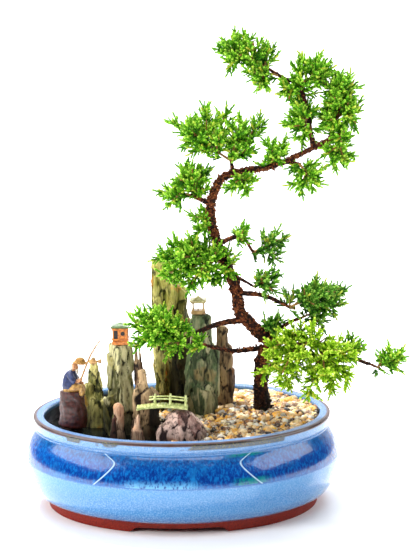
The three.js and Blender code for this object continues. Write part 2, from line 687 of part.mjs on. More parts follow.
// A spray: a main stem to its furthest tip, twigs to the other tips, and short side shoots on what
// wood is left.
function sprayGeometry(spray, seed) {
  const random = randomSource(seed);
  const root = limbCurve(WOOD[spray.limb]).getPointAt(spray.share);
  const tips = padTips(spray);
  const heading = vec(0, 0, 0.2);
  tips.forEach((tip) => heading.add(tip.clone().sub(root).normalize()));
  heading.normalize();
  const foot = root.clone();
  const stub = () => {
    const next = foot.clone().add(heading);
    return { a: foot, b: next, radius: STEM_RADIUS, leafy: false };
  };
  const ids = { owner: spray.name, twig: 0, parent: -1 };
  for (let i = 0; i < TRIES.foot && !isFree(stub(), ids); i += 1) foot.addScaledVector(heading, 0.3);
  tips.sort((p, q) => q.clone().sub(foot).dot(heading) - p.clone().sub(foot).dot(heading));
  const skin = new Skin();
  const across = heading.clone().cross(Math.abs(heading.z) < 0.9 ? UP : vec(1, 0, 0)).normalize();
  const other = heading.clone().cross(across);
  const quad = [0, 1, 2, 3].map((j) => skin.add(foot.clone()
    .addScaledVector(across, STEM_RADIUS * Math.cos((j * Math.PI) / 2))
    .addScaledVector(other, STEM_RADIUS * Math.sin((j * Math.PI) / 2))));
  skin.fill([...quad].reverse());
  const missed = [];
  const jitter = (size) => vec(random() - 0.5, random() - 0.5, random() - 0.5).multiplyScalar(size);
  let begun = false;
  for (let attempt = 0; attempt < TRIES.stem && !begun; attempt += 1) {
    const end = tips[0].clone().add(jitter(attempt * 0.7));
    const wood = WOOD_SHARE * foot.distanceTo(end);
    begun = tryTwig(skin, { quad }, heading, end, wood, STEM_RADIUS, true, ids, random);
  }
  if (!begun) throw new Error(`${spray.name} finds no free way`);
  tips.slice(1).forEach((tip, n) => {
    const score = (site) => {
      const way = tip.clone().sub(skin.centre(site.quad));
      return way.clone().normalize().dot(skin.outward(site.quad)) - way.length() / 120;
    };
    const sites = [...skin.open].sort((p, q) => score(q) - score(p)).slice(0, TRIES.sites);
    const grown = sites.some((site, attempt) => {
      const end = tip.clone().add(jitter(attempt * 0.8));
      const start = skin.centre(site.quad);
      const reach = start.distanceTo(end);
      if (reach < 12) return false;
      const twigIds = { owner: spray.name, twig: n + 1, parent: site.twig };
      const wood = Math.max(NECK, WOOD_SHARE * reach);
      const way = end.clone().sub(start).normalize();
      const direction = skin.outward(site.quad).addScaledVector(way, 0.8).normalize();
      if (!tryTwig(skin, site, direction, end, wood, TWIG_RADIUS, true, twigIds, random)) return false;
      takeSite(skin, site);
      return true;
    });
    if (!grown) missed.push(tip);
  });
  const wanted = Math.round(tips.length * SIDE_SHOOTS) + 2 * missed.length;
  let grown = 0;
  for (let attempt = 0; attempt < TRIES.shoot && grown < wanted && skin.open.length > 0; attempt += 1) {
    const site = skin.open[Math.floor(random() * skin.open.length)];
    const start = skin.centre(site.quad);
    const direction = skin.outward(site.quad).addScaledVector(site.axis, 0.5 + 0.4 * random())
      .add(jitter(0.5)).add(vec(0, 0, 0.15)).normalize();
    const end = start.clone().addScaledVector(direction, 15 + 7 * random()).addScaledVector(site.axis, 2.5);
    const shootIds = { owner: spray.name, twig: 100 + attempt, parent: site.twig };
    if (tryTwig(skin, site, direction, end, NECK, TWIG_RADIUS, false, shootIds, random)) {
      takeSite(skin, site);
      grown += 1;
    }
  }
  return skin.geometry();
}

// Sprays of foliage: the limb that each leaves and at what share of its length, and the pad that it
// fills, with the number of its tips.
const SPRAYS = [
  { name: 'spray_top', limb: 'upper', share: 1,
    centre: [62, -6, 433], half: [30, 16, 20], tips: 7 },
  { name: 'spray_under_top', limb: 'upper', share: 0.83,
    centre: [70, -6, 397], half: [15, 12, 8], tips: 2 },
  { name: 'spray_small', limb: 'upper', share: 0.6,
    centre: [94, -8, 382], half: [9, 12, 8], tips: 2 },
  { name: 'spray_upper', limb: 'upper', share: 0.64,
    centre: [127, -6, 411], half: [17, 16, 19], tips: 6 },
  { name: 'spray_crest', limb: 'stem_right', share: 1,
    centre: [158, -12, 399], half: [17, 18, 16], tips: 5 },
  { name: 'spray_right', limb: 'stem_right', share: 0.65,
    centre: [163, -14, 366], half: [17, 20, 16], tips: 4 },
  { name: 'spray_inner', limb: 'upper', share: 0.22,
    centre: [108, -8, 364], half: [11, 18, 14], tips: 4 },
  { name: 'spray_hanging', limb: 'trunk', share: 1,
    centre: [151, -8, 326], half: [14, 16, 14], tips: 4 },
  { name: 'spray_below', limb: 'below', share: 1,
    centre: [119, -6, 306], half: [20, 16, 13], tips: 4 },
  { name: 'spray_trunk_top', limb: 'trunk', share: 0.8,
    centre: [92, -4, 346], half: [15, 14, 7], tips: 3 },
  { name: 'spray_crown', limb: 'crown_top', share: 1,
    centre: [37, -5, 358], half: [46, 18, 20], tips: 9 },
  { name: 'spray_left', limb: 'crown_left', share: 0.4,
    centre: [13, 4, 317], half: [22, 20, 15], tips: 5 },
  { name: 'spray_left_tip', limb: 'crown_left', share: 1,
    centre: [-12, 8, 294], half: [10, 10, 6], tips: 2 },
  { name: 'spray_neck', limb: 'trunk', share: 0.57,
    centre: [10, 8, 274], half: [8, 20, 13], tips: 3 },
  { name: 'spray_middle', limb: 'trunk', share: 0.47,
    centre: [7, -5, 235], half: [38, 30, 30], tips: 12 },
  { name: 'spray_over_limb', limb: 'right_upper', share: 0.4,
    centre: [54, 6, 269], half: [16, 20, 9], tips: 3 },
  { name: 'spray_back', limb: 'right_upper', share: 1,
    centre: [96, 16, 244], half: [16, 16, 18], tips: 3 },
  { name: 'spray_thin', limb: 'right_thin', share: 1,
    centre: [86, -15, 214], half: [15, 8, 10], tips: 2 },
  { name: 'spray_mid_right', limb: 'right_middle', share: 1,
    centre: [132, -6, 203], half: [28, 18, 16], tips: 6 },
  { name: 'spray_stub', limb: 'right_stub', share: 1,
    centre: [142, 8, 173], half: [16, 12, 8], tips: 2 },
  { name: 'spray_low_left', limb: 'left_upper', share: 1,
    centre: [-13, -36, 177], half: [26, 14, 24], tips: 7 },
  { name: 'spray_low_tuft', limb: 'left_lower', share: 1,
    centre: [10, -40, 165], half: [6, 8, 9], tips: 2 },
  { name: 'spray_front', limb: 'front', share: 1,
    centre: [116, -44, 145], half: [48, 20, 34], tips: 13 },
  { name: 'spray_lower_mid', limb: 'right_lower', share: 0.66,
    centre: [165, -12, 152], half: [12, 14, 15], tips: 4 },
  { name: 'spray_lower_tip', limb: 'right_lower', share: 1,
    centre: [202, -12, 140], half: [16, 12, 11], tips: 4 },
  { name: 'spray_sprig', limb: 'trunk', share: 0.26,
    centre: [86, -18, 182], half: [14, 8, 7], tips: 2 },
  { name: 'spray_under_trunk', limb: 'trunk', share: 0.73,
    centre: [66, -12, 302], half: [22, 8, 8], tips: 3 },
];

// The fisherman: one piece of glazed clay, seated on its own low rock and turned to the pond.
const SEAT = vec(-99, -41, 86.6);

function fishermanGeometry() {
  const ball = (x, y, z, sx, sy, sz) => new THREE.IcosahedronGeometry(1, 1).scale(sx, sy, sz)
    .translate(SEAT.x + x, SEAT.y + y, SEAT.z + z);
  const limb = (points) => {
    const placed = points.map(([x, y, z, radius]) => [SEAT.x + x, SEAT.y + y, SEAT.z + z, radius]);
    return loft(limbRings(placed, 5, 8, 0, 3));
  };
  const base = { ...slab, x: SEAT.x, y: SEAT.y, halfX: 11, halfY: 9.5, foot: SEAT.z, plain: SEAT.z + 2,
    top: SEAT.z + 33, crown: 0.72, levels: 2, taperPower: 1.2, ragged: 2, lean: [0, 0], seed: 21, sides: 9 };
  const hat = new THREE.ConeGeometry(7.2, 4.6, 10).rotateX(Math.PI / 2);
  return geometryOf(joined([
    rockGeometry(base),
    ball(0, 0, 43, 7.5, 6.5, 10),
    limb([[-1, -2, 36, 4], [4, -6, 35, 3.6], [9, -7, 31, 2.8]]),
    limb([[-1, 3, 36, 4], [5, 3, 35, 3.6], [8, 1, 29, 2.8]]),
    limb([[-3, -6, 50, 2.6], [2, -8, 45, 2.2], [8, -6.5, 43.5, 1.7]]),
    limb([[-3, 6, 50, 2.6], [3, 5, 44, 2.2], [9, -2, 40, 1.7]]),
    ball(3, -0.5, 56, 3.6, 3.6, 4.8),
    hat.translate(SEAT.x + 1.5, SEAT.y, SEAT.z + 61.5),
  ]));
}

// The rod's and the line's points, each with its radius.
const ROD = [[-89.6, -48.8, 132.2, 0.7], [-80, -50.5, 155, 0.6], [-71, -52, 169, 0.45]];
const LINE = [[-77.5, -52, 150, 0.35], [-77, -52, 155.5, 0.35], [-76.6, -52, 159, 0.35]];

function rodGeometry() {
  return loft(limbRings(ROD, 6, 12, 0, 1));
}

// The catch: a small fish on a short stiff line, which hangs by the rod's tip.
function catchGeometry() {
  const [x, y, z] = LINE[0];
  const fish = new THREE.IcosahedronGeometry(1, 1).scale(4.2, 1.7, 3.1).translate(x, y, z - 0.5);
  const tail = new THREE.ConeGeometry(2.8, 4.5, 4).scale(1, 1, 0.45).rotateZ(Math.PI / 2);
  tail.translate(x + 5.3, y, z - 0.5);
  return geometryOf(joined([fish, tail, loft(limbRings(LINE, 5, 4, 0, 2))]));
}

// A pavilion of glazed clay: plinth, four posts or walls, and a hipped roof with turned-up corners.
function pavilionGeometry(width, depth, height, walled) {
  const plinth = new THREE.BoxGeometry(width, depth, height * 0.22).translate(0, 0, height * 0.11);
  const parts = [plinth];
  if (walled) {
    const room = new THREE.BoxGeometry(width * 0.66, depth * 0.66, height * 0.5);
    const door = new THREE.BoxGeometry(width * 0.2, depth, height * 0.26);
    room.translate(0, 0, height * 0.42);
    door.translate(-width * 0.12, -depth * 0.5, height * 0.36);
    parts.push(geometryOf(solid(room).subtract(solid(door))));
  } else {
    [[-1, -1], [1, -1], [1, 1], [-1, 1]].forEach(([sx, sy]) => {
      parts.push(new THREE.BoxGeometry(width * 0.12, depth * 0.12, height * 0.5)
        .translate(sx * width * 0.32, sy * depth * 0.32, height * 0.42));
    });
  }
  const eave = (scale, z, lift) => [[-1, -1], [0, -1], [1, -1], [1, 0], [1, 1], [0, 1], [-1, 1], [-1, 0]]
    .map(([sx, sy]) => vec(sx * width * scale, sy * depth * scale, z + (sx && sy ? lift : 0)));
  const roof = [eave(0.42, height * 0.6, 0), eave(0.58, height * 0.68, height * 0.08)];
  roof.push(eave(0.5, height * 0.72, height * 0.06), eave(0.2, height * 0.84, 0), [vec(0, 0, height)]);
  parts.push(loft(roof));
  return geometryOf(joined(parts));
}

// The footbridge: a slightly bowed deck with posts and a rail along each side.
function bridgeGeometry(length, width) {
  const deckRings = [];
  const railRings = [];
  for (let i = 0; i <= 4; i += 1) {
    const x = -length / 2 + (length * i) / 4;
    const z = 2.2 * (1 - (2 * i / 4 - 1) ** 2);
    const box = (halfY, low, high, y) => [vec(x, y - halfY, z + low), vec(x, y + halfY, z + low),
      vec(x, y + halfY, z + high), vec(x, y - halfY, z + high)];
    deckRings.push(box(width / 2, 0, 2.6, 0));
    if (i > 0) railRings.push([box(0.7, 8, 9.4, -width / 2 + 1), box(0.7, 8, 9.4, width / 2 - 1)]);
  }
  const parts = [loft(deckRings)];
  parts.push(loft(railRings.map(([near]) => near)), loft(railRings.map(([, far]) => far)));
  [-0.14, 0.16, 0.46].forEach((share) => {
    [-1, 1].forEach((hand) => {
      const post = new THREE.BoxGeometry(1.6, 1.6, 10);
      parts.push(post.translate(share * length, hand * (width / 2 - 1), 6.2));
    });
  });
  return geometryOf(joined(parts));
}

// Assembly.
const bonsai = new THREE.Group();
const vessel = new THREE.Group();
const landscape = new THREE.Group();
const figures = new THREE.Group();
const tree = new THREE.Group();
bonsai.add(vessel, landscape, figures, tree);

vessel.add(piece('pot', potGeometry(), finish(0x2f7fc4, 0.12)));
vessel.add(piece('water', waterGeometry(), finish(0x10222c, 0.04)));
vessel.add(piece('soil', soilGeometry(), finish(0x3a2c20, 0.95)));
vessel.add(piece('gravel', gravelGeometry(), finish(0xcdb384, 0.8)));

ROCKS.forEach((rock) => landscape.add(piece(rock.name, rockGeometry(rock), finish(rock.color, 0.85))));

figures.add(piece('fisherman', fishermanGeometry(), finish(0x2b3550, 0.3)));
figures.add(piece('rod', rodGeometry(), finish(0x7a4a22, 0.6)));
figures.add(piece('catch', catchGeometry(), finish(0xb58b4f, 0.5)));
const pavilionLeft = piece('pavilion_left', pavilionGeometry(15.5, 13, 20, true), finish(0xc86a1e, 0.3));
pavilionLeft.position.set(-55, -17, 158.4);
const pavilionRight = piece('pavilion_right', pavilionGeometry(14, 12, 17, false), finish(0xd8c99a, 0.3));
pavilionRight.position.set(17.5, 1, 182.6);
const bridge = piece('bridge', bridgeGeometry(46, 11), finish(0xdde0a8, 0.25));
bridge.position.set(-14, -74, 110.4);
figures.add(pavilionLeft, pavilionRight, bridge);

tree.add(piece('trunk', trunkGeometry(), finish(0x3b2417, 0.9)));
Object.values(WOOD).forEach((points) => takeLine(points, 'trunk'));
SPRAYS.forEach((spray, i) => {
  tree.add(piece(spray.name, sprayGeometry(spray, SEEDS.sprays + 17 * i), finish(0x6fb32c, 0.6)));
});

// The origin is the bottom centre of the whole object's box.
bonsai.updateMatrixWorld(true);
const box = new THREE.Box3().setFromObject(bonsai, true);
bonsai.position.set(-(box.min.x + box.max.x) / 2, -(box.min.y + box.max.y) / 2, -box.min.z);

export default bonsai;
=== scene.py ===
"""Looks of a juniper bonsai in an oval land-and-water pot.

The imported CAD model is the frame. Every class below dresses or replaces some of its nodes.
Sizes are in millimetres from the middle of the pot's foot, and Blender's own are in metres.
"""

import logging
import math
import random
from collections.abc import Iterable, Mapping, Sequence
from dataclasses import dataclass, field
from enum import Enum
from typing import Any

import bmesh
import bpy
from mathutils import Matrix, Vector, noise


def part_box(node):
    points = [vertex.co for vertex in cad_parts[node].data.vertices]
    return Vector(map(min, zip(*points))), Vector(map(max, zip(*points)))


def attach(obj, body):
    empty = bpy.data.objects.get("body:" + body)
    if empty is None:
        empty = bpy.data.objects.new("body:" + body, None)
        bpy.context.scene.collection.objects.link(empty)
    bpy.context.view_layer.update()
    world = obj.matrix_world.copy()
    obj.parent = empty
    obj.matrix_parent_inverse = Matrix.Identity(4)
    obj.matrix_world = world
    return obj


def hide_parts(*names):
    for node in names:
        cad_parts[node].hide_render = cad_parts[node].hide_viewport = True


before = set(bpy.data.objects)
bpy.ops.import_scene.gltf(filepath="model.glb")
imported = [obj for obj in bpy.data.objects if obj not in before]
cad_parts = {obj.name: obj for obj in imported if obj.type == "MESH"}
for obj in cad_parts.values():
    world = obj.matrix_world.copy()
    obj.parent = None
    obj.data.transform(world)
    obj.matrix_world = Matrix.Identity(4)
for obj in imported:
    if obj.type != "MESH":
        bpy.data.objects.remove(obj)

MM = 0.001
LOG = logging.getLogger("bonsai")
BODY = "root"
UP = Vector((0, 0, 1))
GOLDEN_TURN = math.pi * (3 - math.sqrt(5))
FIRST_TURN = math.pi / 2
POT_LOW, POT_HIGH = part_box("pot")
HOME = Vector(((POT_LOW.x + POT_HIGH.x) / 2, (POT_LOW.y + POT_HIGH.y) / 2, POT_LOW.z))

Colour = tuple[float, float, float, float]
Point = tuple[float, float, float]
Stop = tuple[float, Colour]


def at(x: float, y: float, z: float) -> Vector:
    """The frame's point for x, y and z in millimetres from the middle of the pot's foot."""
    return HOME + Vector((x, y, z)) * MM


def paint(red: float, green: float, blue: float) -> Colour:
    """A linear colour from the 0 to 255 values of a screen colour."""
    def linear(value: float) -> float:
        share = value / 255
        return share / 12.92 if share <= 0.04045 else ((share + 0.055) / 1.055) ** 2.4
    return (linear(red), linear(green), linear(blue), 1.0)


class Channel:
    """A number that varies over a surface, with arithmetic that adds Math nodes.

    Args:
        shader: The shader that the number belongs to.
        socket: The output socket that carries it.
    """

    def __init__(self, shader: "Shader", socket: bpy.types.NodeSocket) -> None:
        self.shader = shader
        self.socket = socket

    def _math(self, operation: str, *values: Any) -> "Channel":
        """Adds a Math node on the values, in their order."""
        settings = {"operation": operation}
        node = self.shader.node("ShaderNodeMath", settings, dict(enumerate(values)))
        return Channel(self.shader, node.outputs[0])

    def __add__(self, other: Any) -> "Channel":
        """self + other."""
        return self._math("ADD", self, other)

    def __radd__(self, other: Any) -> "Channel":
        """other + self."""
        return self._math("ADD", other, self)

    def __sub__(self, other: Any) -> "Channel":
        """self - other."""
        return self._math("SUBTRACT", self, other)

    def __rsub__(self, other: Any) -> "Channel":
        """other - self."""
        return self._math("SUBTRACT", other, self)

    def __mul__(self, other: Any) -> "Channel":
        """self * other."""
        return self._math("MULTIPLY", self, other)

    def __rmul__(self, other: Any) -> "Channel":
        """other * self."""
        return self._math("MULTIPLY", other, self)

    def __truediv__(self, other: Any) -> "Channel":
        """self / other."""
        return self._math("DIVIDE", self, other)

    def __abs__(self) -> "Channel":
        """The size of the number without its sign."""
        return self._math("ABSOLUTE", self)

    def __pow__(self, power: float) -> "Channel":
        """self raised to a power."""
        return self._math("POWER", self, power)

    def most(self, other: Any) -> "Channel":
        """The larger of the two."""
        return self._math("MAXIMUM", self, other)

    def rise(self, low: float, high: float) -> "Channel":
        """0 up to low, 1 from high on, and a smooth step between them. High may be below low."""
        settings = {"interpolation_type": "SMOOTHSTEP"}
        inputs = {"Value": self, "From Min": low, "From Max": high}
        node = self.shader.node("ShaderNodeMapRange", settings, inputs)
        return Channel(self.shader, node.outputs[0])

    def band(self, low: float, high: float, soft: float) -> "Channel":
        """1 between low and high, with soft edges of that width outside them."""
        return self.rise(low - soft, low) * self.rise(high + soft, high)


class Shader:
    """A material on one Principled shader, and the nodes that feed it.

    Args:
        name: The material's name.
    """

    def __init__(self, name: str) -> None:
        self.material = bpy.data.materials.new(name)
        self.material.use_nodes = True
        self.tree = self.material.node_tree
        self.surface = self.tree.nodes["Principled BSDF"]

    def node(self, kind: str, settings: Mapping[str, Any] | None = None,
             inputs: Mapping[Any, Any] | None = None) -> bpy.types.Node:
        """Adds a node.

        Args:
            kind: Blender's type name.
            settings: Properties, set first. "stops" fills a colour ramp.
            inputs: Values, channels or sockets for the sockets, by name or number.

        Returns:
            The new node.
        """
        made = self.tree.nodes.new(kind)
        for name, value in (settings or {}).items():
            if name == "stops":
                self._fill_ramp(made.color_ramp, value)
            else:
                setattr(made, name, value)
        for key, value in (inputs or {}).items():
            self._feed(made.inputs[key], value)
        return made

    def _feed(self, socket: bpy.types.NodeSocket, value: Any) -> None:
        """Links or sets one input socket."""
        if isinstance(value, Channel):
            self.tree.links.new(value.socket, socket)
        elif isinstance(value, bpy.types.NodeSocket):
            self.tree.links.new(value, socket)
        else:
            socket.default_value = value

    @staticmethod
    def _fill_ramp(ramp: bpy.types.ColorRamp, stops: Sequence[Stop]) -> None:
        """Gives a colour ramp its stops."""
        while len(ramp.elements) < len(stops):
            ramp.elements.new(0.5)
        for element, (place, colour) in zip(ramp.elements, stops):
            element.position = place
            element.color = colour

    def place(self) -> bpy.types.NodeSocket:
        """Object coordinates in millimetres from the middle of the pot's foot."""
        coordinates = self.node("ShaderNodeTexCoord")
        inputs = {"Vector": coordinates.outputs["Object"], "Location": -HOME / MM, "Scale": (1 / MM,) * 3}
        return self.node("ShaderNodeMapping", {"vector_type": "POINT"}, inputs).outputs[0]

    def axes(self, vector: bpy.types.NodeSocket) -> tuple[Channel, Channel, Channel]:
        """The three numbers of a vector."""
        node = self.node("ShaderNodeSeparateXYZ", None, {0: vector})
        return tuple(Channel(self, socket) for socket in node.outputs)

    def stretched(self, vector: bpy.types.NodeSocket, factors: Point) -> bpy.types.NodeSocket:
        """The vector with each axis multiplied by its factor."""
        inputs = {0: vector, 1: factors}
        return self.node("ShaderNodeVectorMath", {"operation": "MULTIPLY"}, inputs).outputs[0]

    def cloud(self, vector: bpy.types.NodeSocket, scale: float, detail: float = 3.0,
              roughness: float = 0.55, distortion: float = 0.0) -> Channel:
        """Fractal noise, about 0.5 on average."""
        inputs = {"Vector": vector, "Scale": scale, "Detail": detail, "Roughness": roughness,
                  "Distortion": distortion}
        return Channel(self, self.node("ShaderNodeTexNoise", None, inputs).outputs[0])

    def cells(self, vector: bpy.types.NodeSocket, scale: float, feature: str = "F1") -> Channel:
        """The distance in a pattern of cells."""
        inputs = {"Vector": vector, "Scale": scale}
        return Channel(self, self.node("ShaderNodeTexVoronoi", {"feature": feature}, inputs).outputs["Distance"])

    def attribute(self, name: str) -> Channel:
        """A number stored on the mesh."""
        return Channel(self, self.node("ShaderNodeAttribute", {"attribute_name": name}).outputs["Fac"])

    def ramp(self, value: Channel, stops: Sequence[Stop]) -> bpy.types.NodeSocket:
        """The colour that the stops give for a value."""
        return self.node("ShaderNodeValToRGB", {"stops": stops}, {0: value}).outputs[0]

    def mix(self, share: Any, first: Any, second: Any, blend: str = "MIX") -> bpy.types.NodeSocket:
        """A colour that goes from the first to the second by the share."""
        settings = {"data_type": "RGBA", "blend_type": blend}
        return self.node("ShaderNodeMix", settings, {0: share, 6: first, 7: second}).outputs[2]

    def relief(self, height: Channel, distance: float, strength: float = 1.0) -> bpy.types.NodeSocket:
        """A normal for a height of 0 to 1 that is distance millimetres deep."""
        inputs = {"Height": height, "Distance": distance * MM, "Strength": strength}
        return self.node("ShaderNodeBump", None, inputs).outputs[0]

    def finished(self, **sockets: Any) -> bpy.types.Material:
        """Feeds the Principled shader, with _ for a space in a socket's name, and returns the material."""
        for name, value in sockets.items():
            self._feed(self.surface.inputs[name.replace("_", " ")], value)
        return self.material


@dataclass(frozen=True)
class PotGlaze:
    """Running blue glaze over red clay: deep blue above the belly's crease and pale below it."""

    foot_top: float = 11.6
    crease: float = 49.2
    neck: float = 75.5
    rim: float = 88.0
    rim_half_length: float = 142.0
    rim_half_width: float = 108.0
    panel_point: float = 56.0
    panel_bend: float = 69.0

    def _height_colours(self, shader: Shader, z: Channel) -> bpy.types.NodeSocket:
        """The glaze's colour by height, near black just above the foot as painted shade."""
        stops = [
            # The first, near-black stop is painted shade just above the foot.
            (0.14, paint(0, 26, 78)), (0.19, paint(4, 78, 138)), (0.26, paint(40, 114, 170)),
            (0.36, paint(44, 114, 172)), (0.54, paint(62, 132, 188)), (0.562, paint(4, 84, 156)),
            (0.62, paint(0, 42, 118)), (0.74, paint(0, 58, 136)), (0.83, paint(4, 70, 132)),
            (0.87, paint(46, 106, 166)), (0.95, paint(62, 124, 180)), (1.0, paint(44, 92, 148)),
        ]
        return shader.ramp(z / self.rim, stops)

    def _panel_line(self, shader: Shader, x: Channel, z: Channel) -> Channel:
        """The thin moulded line, bent like a brace, that ends the front and back panels."""
        below = ((z - self.panel_bend) ** 2 + 9.0) ** 0.5 * 1.15 - 3.45
        above = ((z - self.panel_bend) ** 2 + 4.0) ** 0.5 * 1.9 - 3.8
        upper = z.rise(self.panel_bend - 0.5, self.panel_bend + 0.5)
        bend = below * (1 - upper) + above * upper
        line = abs(x) - (self.panel_point + bend)
        return (abs(line)).rise(1.1, 0.3) * z.band(self.crease + 0.6, self.neck - 0.4, 0.5)

    def build(self) -> bpy.types.Material:
        """Makes the material.

        Returns:
            The pot's material, with the bare foot and the dark inside in it.
        """
        shader = Shader("pot_glaze")
        place = shader.place()
        x, y, z = shader.axes(place)
        reach = (x / self.rim_half_length) ** 2 + (abs(y) / self.rim_half_width) ** 2
        drip = shader.cloud(shader.stretched(place, (1, 1, 0.25)), 0.12, 4)
        speck = shader.cloud(place, 0.85, 4, 0.7)
        dust = shader.cloud(place, 2.1, 2, 0.6)
        patch = shader.cloud(place, 0.028, 3)
        colour = self._height_colours(shader, z + (drip - 0.5) * 4.0 * z.rise(48, 40).most(z.rise(60, 70)))
        lower = z.rise(self.crease + 0.4, self.crease - 0.8)
        colour = shader.mix(lower * speck.rise(0.42, 0.68) * 0.55, colour, paint(142, 190, 226))
        colour = shader.mix(lower * dust.rise(0.62, 0.4) * 0.45, colour, paint(52, 116, 178))
        band = z.rise(self.neck, self.neck + 2)
        colour = shader.mix(band * dust.rise(0.45, 0.65) * 0.55, colour, paint(176, 200, 226))
        upper = z.band(self.crease + 1, self.neck, 1)
        streak = shader.cloud(shader.stretched(place, (1, 1, 0.4)), 0.5, 4, 0.7)
        colour = shader.mix(upper * streak.rise(0.46, 0.62) * 0.6, colour, paint(10, 116, 190))
        colour = shader.mix(upper * streak.rise(0.44, 0.3) * 0.7, colour, paint(0, 22, 78))
        colour = shader.mix(upper * patch.rise(0.56, 0.7) * 0.4, colour, paint(30, 128, 190))
        # Painted reflection: a pale arc just above the crease, left of the middle, standing for a bright light mirrored
        # in the glaze.
        bright = upper * z.rise(58, 51) * abs(x + 14).rise(40, 22) * streak.rise(0.36, 0.5)
        colour = shader.mix(bright * 0.7, colour, paint(104, 178, 222))
        pool = x.band(58, 74, 12) * z.band(51.5, 54.5, 3)
        pool = pool.most(x.band(52, 68, 12) * z.band(74, 75, 1.5))
        pool = pool * streak.rise(0.34, 0.52) * z.band(self.crease + 1, 76, 0.5)
        colour = shader.mix(pool * 0.85, colour, paint(0, 120, 116))
        line = self._panel_line(shader, x, z)
        colour = shader.mix(line * 0.85, colour, paint(172, 206, 230))
        outer = reach.rise(0.93, 0.96)
        worn = z.rise(self.rim - 3.2, self.rim - 2.2) * outer * (0.8 + 0.3 * drip)
        colour = shader.mix(worn, colour, paint(70, 44, 30))
        stain = z.band(82.5, 86.5, 1) * outer * shader.cloud(place, 0.022, 3).rise(0.53, 0.58)
        colour = shader.mix(stain * 0.9, colour, paint(34, 44, 52))
        colour = shader.mix(stain * speck.rise(0.5, 0.62) * 0.8, colour, paint(112, 104, 48))
        inside = z.rise(self.rim - 1.5, self.rim - 6) * reach.rise(0.9, 0.84) * z.rise(12.5, 14)
        colour = shader.mix(inside, colour, paint(34, 30, 30))
        clay = z.rise(self.foot_top + 0.5, self.foot_top - 0.2).most(reach.rise(0.8, 0.7) * z.rise(12.4, 11.5))
        grit = shader.cloud(place, 0.9, 4, 0.65)
        bare = shader.mix(grit.rise(0.35, 0.7), paint(104, 14, 5), paint(160, 44, 16))
        colour = shader.mix(clay, colour, bare)
        top = z.rise(self.rim - 0.9, self.rim - 0.3)
        gloss = 0.1 + 0.08 * speck.rise(0.4, 0.7) + clay * 0.62 + inside * 0.3 + top * 0.4
        ripple = shader.cloud(shader.stretched(place, (1, 1, 0.6)), 0.16, 3, 0.6)
        height = speck * 0.25 + dust * 0.1 + line * 1.2 + clay * grit * 1.5 + ripple * upper * 2.5
        return shader.finished(Base_Color=colour, Roughness=gloss, Normal=shader.relief(height, 0.35, 0.6),
                               Coat_Weight=(1 - clay.most(top)) * 0.6, Coat_Roughness=0.04,
                               Specular_IOR_Level=0.45)


@dataclass(frozen=True)
class PondWater:
    """Still, very dark water with a faint swell and a little dust. Its near-black colour is partly painted shade, for
    the shade among the rocks in the pool.
    """

    def build(self) -> bpy.types.Material:
        """Makes the material."""
        shader = Shader("pond_water")
        place = shader.place()
        murk = shader.cloud(place, 0.04, 3)
        # Near black: partly the water's own colour and partly painted shade.
        colour = shader.mix(murk.rise(0.35, 0.7), paint(6, 9, 10), paint(22, 26, 22))
        swell = shader.cloud(place, 0.09, 2) + 0.3 * shader.cloud(place, 0.4, 2)
        return shader.finished(Base_Color=colour, Roughness=0.03 + 0.05 * murk, IOR=1.333,
                               Normal=shader.relief(swell, 0.35, 0.5), Specular_IOR_Level=0.4)


@dataclass(frozen=True)
class PottingSoil:
    """Dark crumbly soil under the gravel."""

    def build(self) -> bpy.types.Material:
        """Makes the material."""
        shader = Shader("potting_soil")
        place = shader.place()
        crumb = shader.cells(place, 0.55)
        grain = shader.cloud(place, 1.2, 5, 0.7)
        colour = shader.mix(grain.rise(0.35, 0.7), paint(28, 18, 12), paint(84, 60, 40))
        return shader.finished(Base_Color=colour, Roughness=0.95 - 0.1 * grain,
                               Normal=shader.relief(crumb + grain, 1.2))


@dataclass(frozen=True)
class Pebbles:
    """River gravel: cream, honey, orange, white, grey and brown stones."""

    def build(self) -> bpy.types.Material:
        """Makes the material, whose stones differ by the tint stored on each."""
        shader = Shader("gravel_pebbles")
        place = shader.place()
        tint = shader.attribute("tint")
        grain = shader.cloud(place, 0.9, 5, 0.65)
        vein = shader.cloud(shader.stretched(place, (1, 0.3, 1)), 0.7, 3)
        stops = [
            (0.0, paint(22, 16, 12)), (0.12, paint(70, 44, 28)), (0.22, paint(142, 96, 56)),
            (0.34, paint(198, 156, 98)), (0.46, paint(222, 194, 146)), (0.58, paint(210, 142, 46)),
            (0.68, paint(234, 182, 66)), (0.78, paint(240, 224, 190)), (0.88, paint(120, 112, 104)),
            (1.0, paint(250, 244, 232)),
        ]
        colour = shader.ramp(tint, stops)
        colour = shader.mix(grain.rise(0.5, 0.75) * 0.55, colour, paint(120, 84, 52), "MULTIPLY")
        colour = shader.mix(vein.rise(0.55, 0.62) * 0.3, colour, paint(250, 240, 216))
        return shader.finished(Base_Color=colour, Roughness=0.42 + 0.3 * grain,
                               Normal=shader.relief(grain, 0.5), Specular_IOR_Level=0.5)


class StoneTone(Enum):
    """The kinds of stone, each with its ground, light, deep and stain colours."""

    OLIVE = ((112, 112, 52), (206, 196, 124), (30, 34, 12), (190, 130, 36))
    GOLD = ((156, 150, 66), (232, 220, 140), (52, 52, 14), (226, 132, 8))
    SLATE = ((96, 116, 76), (200, 194, 150), (26, 36, 20), (150, 128, 84))
    MOSSY = ((126, 126, 72), (214, 208, 158), (36, 38, 16), (150, 138, 66))
    BROWN = ((84, 60, 40), (178, 150, 112), (24, 14, 8), (146, 96, 54))
    ROSE = ((170, 124, 94), (232, 200, 168), (76, 48, 34), (196, 130, 76))
    MAUVE = ((132, 94, 84), (218, 186, 172), (46, 26, 24), (150, 100, 82))
    UMBER = ((44, 26, 20), (92, 56, 42), (14, 8, 6), (96, 34, 22))


